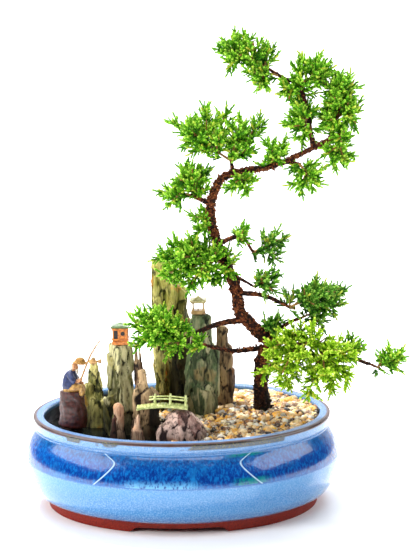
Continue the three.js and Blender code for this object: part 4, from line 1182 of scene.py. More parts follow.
@dataclass
class Rock:
    """A standing rock of slabs grown together, split and weathered."""

    node: str
    tone: StoneTone
    slot: str
    slabs: tuple[Slab, ...]
    seed: int
    voxel: float = 1.5
    groove: float = 1.5
    rounded: bool = False
    # Left, right and top shares of a painted shadow over the lower front faces; a right of zero gives none.
    painted_shade_patch: Point = (0.0, 0.0, 0.0)

    def _slab(self, slab: Slab, low: Vector, size: Vector, draw: random.Random) -> bpy.types.Mesh:
        """One slab: a block that tapers, with its corners chipped off."""
        bm = bmesh.new()
        x0, x1 = low.x + slab.left * size.x, low.x + slab.right * size.x
        y0, y1 = low.y + slab.front * size.y, low.y + slab.back * size.y
        z0, z1 = low.z + slab.bottom * size.z, low.z + slab.top * size.z
        middle = Vector(((x0 + x1) / 2, (y0 + y1) / 2, (z0 + z1) / 2))
        sizes = (x1 - x0, y1 - y0, z1 - z0, 1)
        put = Matrix.Translation(middle) @ Matrix.Diagonal(sizes)
        if self.rounded:
            bmesh.ops.create_icosphere(bm, subdivisions=2, radius=0.56, matrix=put)
        else:
            bmesh.ops.create_cube(bm, size=1, matrix=put)
        for vertex in bm.verts:
            upper = vertex.co.z > middle.z
            share = 1 - (slab.narrow if upper else slab.point)
            shift = Vector((draw.uniform(-0.05, 0.05) * sizes[0], draw.uniform(-0.05, 0.05) * sizes[1], 0))
            vertex.co.x = middle.x + (vertex.co.x - middle.x) * share + shift.x
            vertex.co.y = middle.y + (vertex.co.y - middle.y) * share + shift.y
            if upper and vertex.co.x > middle.x:
                vertex.co.z -= slab.slope * size.z
        if not slab.seat:
            for _ in range(3):
                lean = Vector((draw.uniform(-1, 1), draw.uniform(-1, 1), draw.uniform(0.9, 1.7))).normalized()
                reach = Vector((sizes[0] * 0.42 * lean.x, sizes[1] * 0.42 * lean.y, sizes[2] / 2 * 0.95))
                chip(bm, middle + reach, lean)
        start = draw.uniform(0, math.tau)
        for number in range(6):
            angle = start + math.tau * (number + draw.uniform(-0.3, 0.3)) / 6
            lean = Vector((math.cos(angle), math.sin(angle), draw.uniform(-0.1, 0.14))).normalized()
            cut = draw.uniform(0.46, 0.54)
            reach = Vector((sizes[0] * cut * lean.x, sizes[1] * cut * lean.y, draw.uniform(-0.3, 0.4) * sizes[2]))
            chip(bm, middle + reach, lean)
        bmesh.ops.recalc_face_normals(bm, faces=bm.faces[:])
        return mesh_of("slab", bm, False)

    def _weather(self, bm: bmesh.types.BMesh, low: Vector, high: Vector) -> None:
        """Cuts plates, grooves and small breaks into the skin, and stores what its colours go by, with gloom for a
        painted shadow.
        """
        layer = bm.verts.layers.float.new("raised")
        plate = bm.verts.layers.float.new("plate")
        gloom = bm.verts.layers.float.new("gloom")
        bm.normal_update()
        offset = Vector((self.seed * 13.7, self.seed * 3.1, 0))
        left, right, top = self.painted_shade_patch
        moved = []
        for vertex in bm.verts:
            place = (vertex.co - HOME) / MM
            bent = place + offset + 3 * noise.noise_vector(place * 0.05)
            upright = Vector((bent.x * 0.17, bent.y * 0.17, bent.z * 0.03))
            ridge = noise.ridged_multi_fractal(upright, 0.9, 2.1, 3, 1.0, 2.0) * 0.35
            broken = noise.fractal(Vector((bent.x * 0.3, bent.y * 0.3, bent.z * 0.12)), 0.7, 2.0, 3)
            spot = Vector((bent.x * 0.085, bent.y * 0.085, bent.z * 0.03))
            (first, second, *_), (centre, *_) = noise.voronoi(spot)
            cleft = min(1.0, (second - first) / 0.1)
            tilt = noise.noise_vector(centre * 5.3)
            level = 0.6 * ridge + 0.2 * broken + 0.36 * cleft
            vertex[layer] = min(1.0, max(0.0, level))
            # plate comes from the same tilt that slopes the facet below, so the colour it gives is painted light and
            # shade.
            vertex[plate] = min(1.0, max(0.0, 0.5 + 0.9 * tilt.x))
            share = (vertex.co - low) / (high - low).length
            flake = 2.6 * (spot - centre).dot(tilt) + 0.9 * tilt.z
            across = (vertex.co.x - low.x) / (high.x - low.x)
            tall = (vertex.co.z - low.z) / (high.z - low.z)
            # gloom marks a painted shadow over the lower front faces, between the left and right shares and below the
            # top share.
            if right > 0:
                dark = min(1.0, max(0.0, (across - left) / 0.06)) * min(1.0, max(0.0, (right - across) / 0.06))
                dark *= min(1.0, max(0.0, (top - tall + 0.12 * across) / 0.08))
                vertex[gloom] = dark if vertex.normal.y < 0.3 else 0.3 * dark
            moved.append(vertex.co + vertex.normal * ((level - 0.48) * 2 + flake * 1.5) * self.groove * MM)
        slack = 2.5 * MM
        for vertex, place in zip(bm.verts, moved):
            place.x = min(high.x + slack, max(low.x - slack, place.x))
            place.y = min(high.y + slack, max(low.y - slack, place.y))
            place.z = min(high.z, max(low.z, place.z))
            vertex.co = place

    def build(self, finish: bpy.types.Material) -> None:
        """Makes the rock.

        Args:
            finish: Its stone.
        """
        draw = random.Random(self.seed)
        low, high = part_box(self.node)
        size = high - low
        bm = bmesh.new()
        for slab in self.slabs:
            mesh = self._slab(slab, low, size, draw)
            bm.from_mesh(mesh)
            bpy.data.meshes.remove(mesh)
        skin = remeshed(mesh_of(self.node, bm, False), self.voxel)
        bm = bmesh.new()
        bm.from_mesh(skin)
        bpy.data.meshes.remove(skin)
        self._weather(bm, low, high)
        name = f"{self.node}_weathered"
        dress(name, mesh_of(name, bm, True), [finish], [self.node])


OUTCROP = Slab(0.08, 0.9, -0.55, 0.4, 0.33, 0.03, 0.3, 0.02, 0.78)

ROCKS: tuple[Rock, ...] = (
    Rock("rock_tall", StoneTone.GOLD, "stone_olive", (
        Slab(0.00, 0.36, 0.15, 0.95, 1.00, 0.01, 0.08), Slab(0.26, 0.68, 0.05, 1.00, 0.975, 0.02, 0.08),
        Slab(0.58, 0.88, 0.15, 0.95, 0.86, 0.07), Slab(0.78, 1.02, 0.25, 0.95, 0.66, 0.08),
        Slab(0.5, 1.0, 0.3, 0.95, 0.45), Slab(0.04, 0.28, 0.00, 0.35, 0.52),
        Slab(0.4, 0.62, 0.0, 0.3, 0.92, 0.05, 0.1, 0.45, 0.4)), 1, 1.6, 1.7, painted_shade_patch=(0.4, 1.1, 0.46)),
    Rock("rock_right", StoneTone.SLATE, "stone_olive", (
        Slab(0.00, 0.30, 0.10, 0.90, 0.80, -0.04), Slab(0.16, 0.82, 0.00, 1.00, 1.00, 0.0, 0.04, seat=True),
        Slab(0.66, 1.06, 0.10, 0.95, 0.78, 0.12), Slab(0.3, 0.62, -0.1, 0.3, 0.7, 0.03), OUTCROP),
        2, 1.5, 1.4),
    Rock("rock_brown", StoneTone.BROWN, "stone_brown", (
        Slab(0.0, 0.72, 0.1, 0.95, 1.0, 0.0, 0.15), Slab(0.3, 1.0, 0.0, 0.9, 0.86, 0.12, 0.15)), 3, 1.5, 1.3),
    Rock("rock_pavilion", StoneTone.MOSSY, "stone_olive", (
        Slab(0.06, 1.0, 0.05, 0.95, 1.0, 0.0, 0.08, seat=True), Slab(-0.05, 0.45, 0.0, 0.9, 0.66, -0.1, 0.2),
        Slab(0.5, 1.06, -0.05, 0.6, 0.5, 0.08, 0.2), Slab(0.2, 0.66, -0.1, 0.3, 0.6, 0.04)), 4, 1.4, 1.5),
    Rock("rock_left", StoneTone.OLIVE, "stone_olive", (
        Slab(0.3, 1.04, 0.05, 0.95, 1.0, -0.03, 0.3), Slab(-0.05, 0.85, -0.05, 0.95, 0.8, -0.1, 0.16),
        Slab(0.3, 1.08, -0.1, 0.8, 0.72, 0.03, 0.12)), 5, 1.4, 1.5),
    Rock("rock_mid", StoneTone.BROWN, "stone_brown", (
        Slab(-0.04, 0.5, 0.05, 1.0, 0.92, -0.04, 0.08), Slab(0.3, 0.84, 0.1, 1.0, 1.0, 0.03, 0.08),
        Slab(0.62, 1.0, 0.1, 0.95, 0.86, 0.06, 0.12), Slab(0.05, 0.42, -0.05, 0.6, 0.6, 0.0, 0.2),
        Slab(0.5, 0.86, -0.1, 0.4, 0.5, 0.06, 0.2)), 6, 1.4, 1.6, painted_shade_patch=(0.62, 1.1, 0.7)),
    Rock("rock_back", StoneTone.BROWN, "stone_brown", (
        Slab(-0.1, 0.8, 0.1, 1.0, 1.0, 0.02, 0.05), Slab(0.3, 1.2, 0.0, 0.95, 0.95, 0.02, 0.05)), 7, 1.3, 1.0),
    Rock("rock_rose", StoneTone.ROSE, "stone_rose", (
        Slab(0.0, 0.8, 0.0, 0.95, 1.0, 0.03, 0.2), Slab(0.35, 1.0, 0.1, 0.9, 0.85, 0.05, 0.2)), 8, 1.2, 1.0),
    Rock("rock_pier", StoneTone.ROSE, "stone_rose", (
        Slab(0.0, 1.0, 0.05, 0.95, 1.0, 0.0, 0.1), Slab(0.2, 0.8, 0.0, 0.5, 0.85, 0.02, 0.2)), 9, 1.2, 1.0),
    Rock("rock_low", StoneTone.UMBER, "stone_brown", (
        Slab(0.0, 0.7, 0.0, 0.95, 1.0, 0.03, 0.35), Slab(0.4, 1.0, 0.1, 0.9, 0.7, 0.05, 0.3)), 10, 1.2, 1.0),
    Rock("rock_fisherman", StoneTone.UMBER, "stone_brown", (
        Slab(0.0, 1.0, 0.0, 1.0, 1.0, 0.0, 0.06, seat=True),), 11, 1.2, 1.0),
    Rock("boulder", StoneTone.MAUVE, "stone_rose", (
        Slab(0.12, 0.92, 0.1, 0.98, 1.0, 0.0, 0.1, -0.2), Slab(0.0, 0.62, 0.0, 0.8, 0.74, 0.0, 0.1, -0.2),
        Slab(0.4, 1.0, 0.05, 0.9, 0.72, 0.0, 0.1, -0.2)), 12, 1.3, 1.2, rounded=True),
)


@dataclass(frozen=True)
class Limb:
    """A stretch of the tree's wood: the bends of its route and the radii of its ends, in millimetres."""

    route: tuple[Point, ...]
    first: float
    last: float
    flare: float = 0.0
    flare_top: float = 102.0
    flare_rise: float = 20.0

    def stations(self, step: float = 1.7) -> list[tuple[Vector, float]]:
        """Even stations of a place and a radius along the limb, in metres."""
        places = [place for place, _ in smooth_line([at(*point) for point in self.route], step * MM)]
        stations = []
        for number, place in enumerate(places):
            radius = self.first + (self.last - self.first) * number / (len(places) - 1)
            height = (place.z - HOME.z) / MM
            swell = min(1.0, max(0.0, (self.flare_top - height) / self.flare_rise))
            stations.append((place, (radius + self.flare * swell) * MM))
        return stations

    def spot(self, share: float) -> Vector:
        """The place at a share of the limb's length."""
        stations = self.stations()
        return stations[round(share * (len(stations) - 1))][0]


LIMBS: dict[str, Limb] = {
    "trunk": Limb(((78, 0, 64.5), (78, 0, 82), (76, 0, 110), (78, -2, 140), (86, -5, 152), (70, -8, 170),
                   (57, -8, 185), (52, -2, 210), (35, 6, 252), (30, 8, 280), (40, 4, 308), (60, 0, 316),
                   (90, -5, 322), (125, -10, 338), (153, -12, 353)), 7.4, 1.5, 3.0),
    "corner": Limb(((80, -2, 144), (70, -4, 136)), 4, 2),
    "upper": Limb(((125, -10, 338), (120, -10, 370), (113, -9, 394), (98, -8, 402), (82, -8, 412)), 2.2, 1.3),
    "stem_right": Limb(((140, -11, 346), (148, -12, 374)), 1.8, 1.2),
    "left_upper": Limb(((60, -8, 178), (35, -20, 176), (5, -30, 166)), 3, 1.4),
    "left_lower": Limb(((80, -4, 150), (50, -16, 150), (20, -30, 160)), 3, 1.4),
    "right_upper": Limb(((37, 5, 248), (58, 9, 254), (70, 12, 238)), 2.6, 1.2),
    "right_thin": Limb(((50, 0, 220), (70, -12, 210)), 1.8, 1),
    "right_middle": Limb(((54, -4, 203), (80, -7, 200), (103, -12, 190)), 2.8, 1.2),
    "right_stub": Limb(((84, -6, 158), (100, -4, 172), (115, -2, 178)), 2.6, 1.3),
    "right_lower": Limb(((84, -5, 154), (110, -8, 160), (150, -10, 145), (185, -12, 132)), 3.4, 1.1),
    "front": Limb(((98, -7, 158), (115, -22, 165)), 2.2, 1.4),
    "crown_left": Limb(((31, 8, 285), (12, 6, 294)), 2.8, 1.3),
    "crown_top": Limb(((52, 1, 314), (50, 2, 326)), 2.4, 1.4),
    "below": Limb(((98, -6, 325), (112, -9, 324)), 1.8, 1.1),
}


@dataclass
class Trunk:
    """The trunk and its limbs, with furrowed bark, lifted scales and short stubs."""

    seed: int = 5
    trunk_sides: int = 22
    limb_sides: int = 12
    scales: int = 1700
    limb_scales: int = 70
    furrow: float = 1.9

    def _scales(self, bm: bmesh.types.BMesh, stations: Sequence[tuple[Vector, float]], count: int,
                draw: random.Random) -> None:
        """Adds lifted scales and stubs to a stretch of bark."""
        shapes = []
        for number in range(5):
            shape = bmesh.new()
            bmesh.ops.create_cone(shape, cap_ends=True, segments=5, radius1=0.9, radius2=0.28, depth=1.0)
            layer = shape.verts.layers.float.new("raised")
            for vertex in shape.verts:
                vertex.co += 0.3 * noise.noise_vector(vertex.co * 1.7 + UP * number)
                vertex[layer] = 0.95 if vertex.co.z > 0 else 0.25
            shapes.append(mesh_of("scale", shape, False))
        for _ in range(count):
            index = draw.randrange(1, len(stations) - 1)
            place, radius = stations[index]
            along = (stations[index + 1][0] - stations[index - 1][0]).normalized()
            side = along.orthogonal().normalized()
            side.rotate(Matrix.Rotation(draw.uniform(0, math.tau), 3, along))
            lean = (side + along * draw.uniform(-0.5, 0.9)).normalized()
            size = draw.uniform(1.0, 2.5) * min(1.0, radius / (4 * MM)) ** 0.5
            tall = 1.9 if draw.random() < 0.16 else 0.8
            spot = place + side * (radius + 0.2 * size * MM)
            put = turned_to(spot, lean, size * MM, draw.uniform(0, math.tau)) @ Matrix.Diagonal((1, 0.6, tall, 1))
            shape = draw.choice(shapes)
            shape.transform(put)
            bm.from_mesh(shape)
            shape.transform(put.inverted())

    def _furrow(self, bm: bmesh.types.BMesh) -> None:
        """Roughens the bark and stores how far each point stands out."""
        layer = bm.verts.layers.float["raised"]
        bm.normal_update()
        for vertex in bm.verts:
            place = (vertex.co - HOME) / MM
            ridge = noise.ridged_multi_fractal(place * 0.33, 0.8, 2.2, 3, 1.0, 2.0) * 0.35
            lump = noise.noise(place * 0.16)
            level = min(1.0, max(0.0, ridge + 0.45 * lump))
            vertex[layer] = level
            rough = min(1.0, 0.35 + max(0.0, (230 - place.z) / 200))
            vertex.co += vertex.normal * (level - 0.45) * self.furrow * rough * MM

    def build(self) -> None:
        """Makes the trunk."""
        draw = random.Random(self.seed)
        bm = bmesh.new()
        bm.verts.layers.float.new("raised")
        main, *limbs = [limb.stations() for limb in LIMBS.values()]
        grow_tube(bm, main, self.trunk_sides)
        for stations in limbs:
            grow_tube(bm, stations, self.limb_sides)
        self._furrow(bm)
        self._scales(bm, main, self.scales, draw)
        for stations in limbs:
            self._scales(bm, stations, round(self.limb_scales * len(stations) / 40), draw)
        bmesh.ops.recalc_face_normals(bm, faces=bm.faces[:])
        dress("trunk_bark", mesh_of("trunk_bark", bm, False), [Bark().build()], ["trunk"])


@dataclass
class Foliage:
    """Makes the repeated growth: shoots set with awl-shaped leaves, and branchlets of shoots."""

    seed: int = 11
    kinds: int = 10
    shoot_lengths: tuple[float, ...] = (6.5, 7.5, 8.5, 9.5)
    whorl_step: float = 2.0
    leaf_length: float = 2.4
    leaf_width: float = 1.2
    base_tilt: float = 36.0
    tip_tilt: float = 38.0
    twig_radius: float = 0.45
    twig_length: float = 11.0
    reach: float = 18.5
    branchlets: list[bpy.types.Mesh] = field(default_factory=list)

    def _shoot(self, length: float, draw: random.Random) -> bpy.types.Mesh:
        """A straight shoot along +Z, in millimetres, with its leaves in whorls of three."""
        bm = bmesh.new()
        tip = bm.verts.layers.float.new("tip")
        bm.verts.layers.float.new("tint")
        bm.verts.layers.float.new("shade")
        core = bmesh.ops.create_cone(bm, cap_ends=False, segments=4, radius1=0.85, radius2=0.95, depth=length,
                                     matrix=Matrix.Translation((0, 0, length / 2)))["verts"]
        bud = bmesh.ops.create_cone(bm, cap_ends=False, segments=4, radius1=1.35, radius2=0, depth=2.0,
                                    matrix=Matrix.Translation((0, 0, length + 0.3)))["verts"]
        for vertex in core:
            vertex[tip] = 0.2 if vertex.co.z > 1 else 0.05
        for vertex in bud:
            vertex[tip] = 0.9 if vertex.co.z > length else 0.45
        whorls = round(length / self.whorl_step)
        turn = draw.uniform(0, math.tau)
        for whorl in range(whorls):
            along = whorl / (whorls - 1)
            turn += math.pi / 3
            for number in range(3):
                tilt = self.base_tilt + (self.tip_tilt - self.base_tilt) * along + draw.uniform(-6, 6)
                size = self.leaf_length * (1 - 0.12 * along) * draw.uniform(0.88, 1.1)
                put = Matrix.Translation((0, 0, 0.3 + whorl * self.whorl_step))
                put = put @ Matrix.Rotation(turn + number * math.tau / 3, 4, "Z")
                put = put @ Matrix.Rotation(math.radians(tilt), 4, "Y") @ Matrix.Translation((0, 0, size / 2))
                leaf = bmesh.ops.create_cone(bm, cap_ends=False, segments=3, radius1=self.leaf_width, radius2=0,
                                             depth=size, matrix=put)["verts"]
                point = max(leaf, key=lambda vertex: vertex.co.z + math.hypot(vertex.co.x, vertex.co.y))
                for vertex in leaf:
                    vertex[tip] = 0.25 * along + (0.65 if (vertex.co - point.co).length < 0.1 else 0.1)
        return mesh_of("shoot", bm, False)

    @staticmethod
    def _append(bm: bmesh.types.BMesh, mesh: bpy.types.Mesh, put: Matrix, layer: str, value: float) -> None:
        """Adds a copy of a mesh in another place, with one of its layers set to a value."""
        values = mesh.attributes[layer].data
        values.foreach_set("value", [value] * len(values))
        mesh.transform(put)
        bm.from_mesh(mesh)
        mesh.transform(put.inverted())

    def _branchlet(self, shoots: Sequence[bpy.types.Mesh], draw: random.Random) -> bpy.types.Mesh:
        """A twig along +Z with shoots to both sides and one at its end, in millimetres."""
        bm = bmesh.new()
        for layer in ("tip", "tint", "shade"):
            bm.verts.layers.float.new(layer)
        length = self.twig_length * draw.uniform(0.9, 1.1)
        bow = draw.uniform(-0.16, 0.16)
        line = [Vector((bow * z * z / length, 0, z)) for z in (0, length / 2, length)]
        grow_tube(bm, list(zip(line, (self.twig_radius, self.twig_radius * 0.8, self.twig_radius * 0.5))), 3)
        for face in bm.faces:
            face.material_index = 1
        count = draw.randint(7, 9)
        for number in range(count):
            along = (number + 0.7) / (count + 0.2)
            spot = Vector((bow * (along * length) ** 2 / length, 0, along * length))
            side = 1 if number % 2 else -1
            spread = math.radians(draw.uniform(24, 48))
            roll = draw.uniform(-1.1, 1.1)
            across = math.sin(spread)
            way = Vector((side * across * math.cos(roll), across * math.sin(roll), math.cos(spread)))
            put = turned_to(spot, way, draw.uniform(0.8, 1.08) * (1 - 0.18 * along), draw.uniform(0, math.tau))
            self._append(bm, draw.choice(shoots), put, "tint", draw.random())
        put = turned_to(line[-1] * 0.96, Vector((2 * bow, 0, 1)), 0.95)
        self._append(bm, draw.choice(shoots), put, "tint", draw.random())
        return mesh_of("branchlet", bm, False)

    def prepare(self) -> None:
        """Makes the kinds of branchlet that the sprays use."""
        draw = random.Random(self.seed)
        shoots = [self._shoot(length, draw) for length in self.shoot_lengths]
        self.branchlets = [self._branchlet(shoots, draw) for _ in range(self.kinds)]

    def add_branchlet(self, bm: bmesh.types.BMesh, put: Matrix, shade: float, draw: random.Random) -> None:
        """Adds one branchlet, chosen by the draw, at a place in metres, with a shade of 0 to 1."""
        self._append(bm, draw.choice(self.branchlets), put @ Matrix.Scale(MM, 4), "shade", shade)


@dataclass
class Spray:
    """A spray of foliage: a stem from its limb, forked to its tips and set with branchlets.

    The stem leaves the limb at a share of its length. The tips fill the box of the spray's CAD node.
    """

    name: str
    limb: str
    share: float
    tips: int
    # Which painted light the leaves get: a sunlit, open or shaded copy of the leaf colours.
    growth: LeafLight = LeafLight.OPEN
    spacing: float = 3.7
    plump: float = 9.5
    spread: float = 1.14
    shift: Point = (0.0, 0.0, 0.0)
    bare: float = 0.2
    stem_radius: float = 1.25
    stem_cuts: int = 8

    def _ends(self) -> list[Vector]:
        """The tips: evenly spaced across the node's box and turned round it by the golden angle."""
        low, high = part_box(self.name)
        centre = (low + high) / 2 + Vector(self.shift) * MM
        ends = []
        for number in range(self.tips):
            across = 1 - (2 * number + 1) / self.tips
            level = math.sqrt(1 - across * across)
            turn = FIRST_TURN + number * GOLDEN_TURN
            way = Vector((across, level * math.cos(turn), level * math.sin(turn)))
            ends.append(centre + Matrix.Diagonal((high - low) / 2) @ way * self.spread)
        return ends

    def _axes(self) -> list[list[Vector]]:
        """The curves of the stems: the furthest tip's from the root, the others from its first part."""
        root = LIMBS[self.limb].spot(self.share)
        tips = sorted(self._ends(), key=lambda tip: -(tip - root).length)
        axes: list[list[Vector]] = []
        for tip in tips:
            starts = [root] + [point for axis in axes[:1] for point in axis[1:self.stem_cuts // 2]]
            start = min(starts, key=lambda point: (tip - point).length + 0.3 * (point - root).length)
            way = tip - start
            sag = UP * 0.1 * way.length
            knee = start + way * 0.5 + (sag if way.z < 0.5 * way.length else -sag * 0.4)
            shares = [step / self.stem_cuts for step in range(self.stem_cuts + 1)]
            axes.append([start * (1 - t) ** 2 + knee * 2 * t * (1 - t) + tip * t * t for t in shares])
        return axes

    def _leafy(self, bm: bmesh.types.BMesh, axis: Sequence[Vector], foliage: Foliage,
               draw: random.Random) -> None:
        """Fills the space round one stem with branchlets that point away from it and upwards."""
        places = [place for place, _ in smooth_line(axis, 1.2 * MM)]
        total = sum((b - a).length for a, b in zip(places, places[1:]))
        largest = min(1.0, 0.35 + 0.75 * total / (foliage.reach * MM))
        count = max(3, round(total / (self.spacing * MM)))
        turn = draw.uniform(0, math.tau)
        for number in range(count):
            size = largest * draw.uniform(0.78, 1.0)
            reach = foliage.reach * size * MM
            limit = max(self.bare, 1 - 0.32 * reach / total)
            part = (number + draw.random()) / count
            share = self.bare + (limit - self.bare) * part
            index = min(len(places) - 2, int(share * (len(places) - 1)))
            along = (places[index + 1] - places[index]).normalized()
            turn += 2.4
            side = along.orthogonal().normalized()
            side.rotate(Matrix.Rotation(turn, 3, along))
            away = math.sqrt(draw.random()) * (1 - 0.6 * part ** 3)
            lean = (along * 0.6 + side * (0.2 + 0.75 * away) + UP * 0.3).normalized()
            centre = places[index] + side * away * self.plump * MM
            # shade darkens the inner and lower branchlets: painted shade.
            shade = min(1.0, max(0.0, 0.95 - 0.5 * part - 0.5 * away - 0.3 * side.z))
            put = turned_to(centre - lean * reach * 0.45, lean, size, draw.uniform(0, math.tau))
            foliage.add_branchlet(bm, put, shade, draw)

    def build(self, foliage: Foliage, materials: Sequence[bpy.types.Material], seed: int) -> None:
        """Makes the spray.

        Args:
            foliage: The repeated growth.
            materials: Leaves and twig bark.
            seed: The draw's seed.
        """
        draw = random.Random(seed)
        bm = bmesh.new()
        for layer in ("tip", "tint", "shade"):
            bm.verts.layers.float.new(layer)
        axes = self._axes()
        for axis in axes:
            kept = axis[:self.stem_cuts - 1]
            radii = [self.stem_radius * (1 - 0.7 * step / self.stem_cuts) * MM for step in range(len(kept))]
            grow_tube(bm, list(zip(kept, radii)), 6)
        for face in bm.faces:
            face.material_index = 1
        for axis in axes:
            self._leafy(bm, axis, foliage, draw)
        name = f"{self.name}_leaves"
        dress(name, mesh_of(name, bm, False), materials, [self.name])


# Each spray's LeafLight picks a lit or shaded copy of the leaf colours: painted light and shade.
SPRAYS: tuple[Spray, ...] = (
    Spray("spray_top", "upper", 1, 12, shift=(-2, 0, -3)),
    Spray("spray_under_top", "upper", 0.83, 4, shift=(-5, 0, 0)),
    Spray("spray_small", "upper", 0.6, 4, LeafLight.OPEN, 4.0, 5.5),
    Spray("spray_upper", "upper", 0.64, 10, spread=1.35),
    Spray("spray_crest", "stem_right", 1, 9, spread=1.25, shift=(-6, 0, 0)),
    Spray("spray_right", "stem_right", 0.65, 9, spread=1.45, shift=(-8, 0, 0)),
    Spray("spray_inner", "upper", 0.22, 8, spread=1.55, shift=(4, 0, 0)),
    Spray("spray_hanging", "trunk", 1, 7, spread=1.3, shift=(-4, 0, 0)),
    Spray("spray_below", "below", 1, 6, shift=(3, 0, -3)),
    Spray("spray_trunk_top", "trunk", 0.8, 5, LeafLight.OPEN, 4.0, 5.5, shift=(-4, 0, 5)),
    Spray("spray_crown", "crown_top", 1, 14, shift=(0, 0, 6)),
    Spray("spray_left", "crown_left", 0.4, 8, shift=(-2, 0, 4)),
    Spray("spray_left_tip", "crown_left", 1, 3, shift=(-6, 0, 0)),
    Spray("spray_neck", "trunk", 0.57, 3, LeafLight.OPEN, 4.0, 5.5),
    Spray("spray_middle", "trunk", 0.47, 17, shift=(4, 0, -3)),
    Spray("spray_over_limb", "right_upper", 0.4, 3, LeafLight.OPEN, 4.0, 5.5, shift=(8, 0, -9)),
    Spray("spray_back", "right_upper", 1, 5, LeafLight.SHADED),
    Spray("spray_thin", "right_thin", 1, 4, LeafLight.SHADED, shift=(3, 0, -3)),
    Spray("spray_mid_right", "right_middle", 1, 11, LeafLight.SHADED, spread=1.25, shift=(3, 0, -3)),
    Spray("spray_stub", "right_stub", 1, 4, LeafLight.SHADED),
    Spray("spray_low_left", "left_upper", 1, 11, spread=1.3, shift=(-10, 0, 4)),
    Spray("spray_low_tuft", "left_lower", 1, 3, LeafLight.OPEN, 4.0, 5.5),
    Spray("spray_front", "front", 1, 18, LeafLight.SUNLIT, 3.5, 10.0, shift=(3, 0, -5)),
    Spray("spray_lower_mid", "right_lower", 0.66, 5),
    Spray("spray_lower_tip", "right_lower", 1, 6, spread=1.25, shift=(0, 0, -3)),
    Spray("spray_sprig", "trunk", 0.26, 4, LeafLight.SHADED, 3.8, 4.5),
    Spray("spray_under_trunk", "trunk", 0.73, 5, LeafLight.OPEN, 4.0, 4.5, shift=(-5, 0, -4)),
)


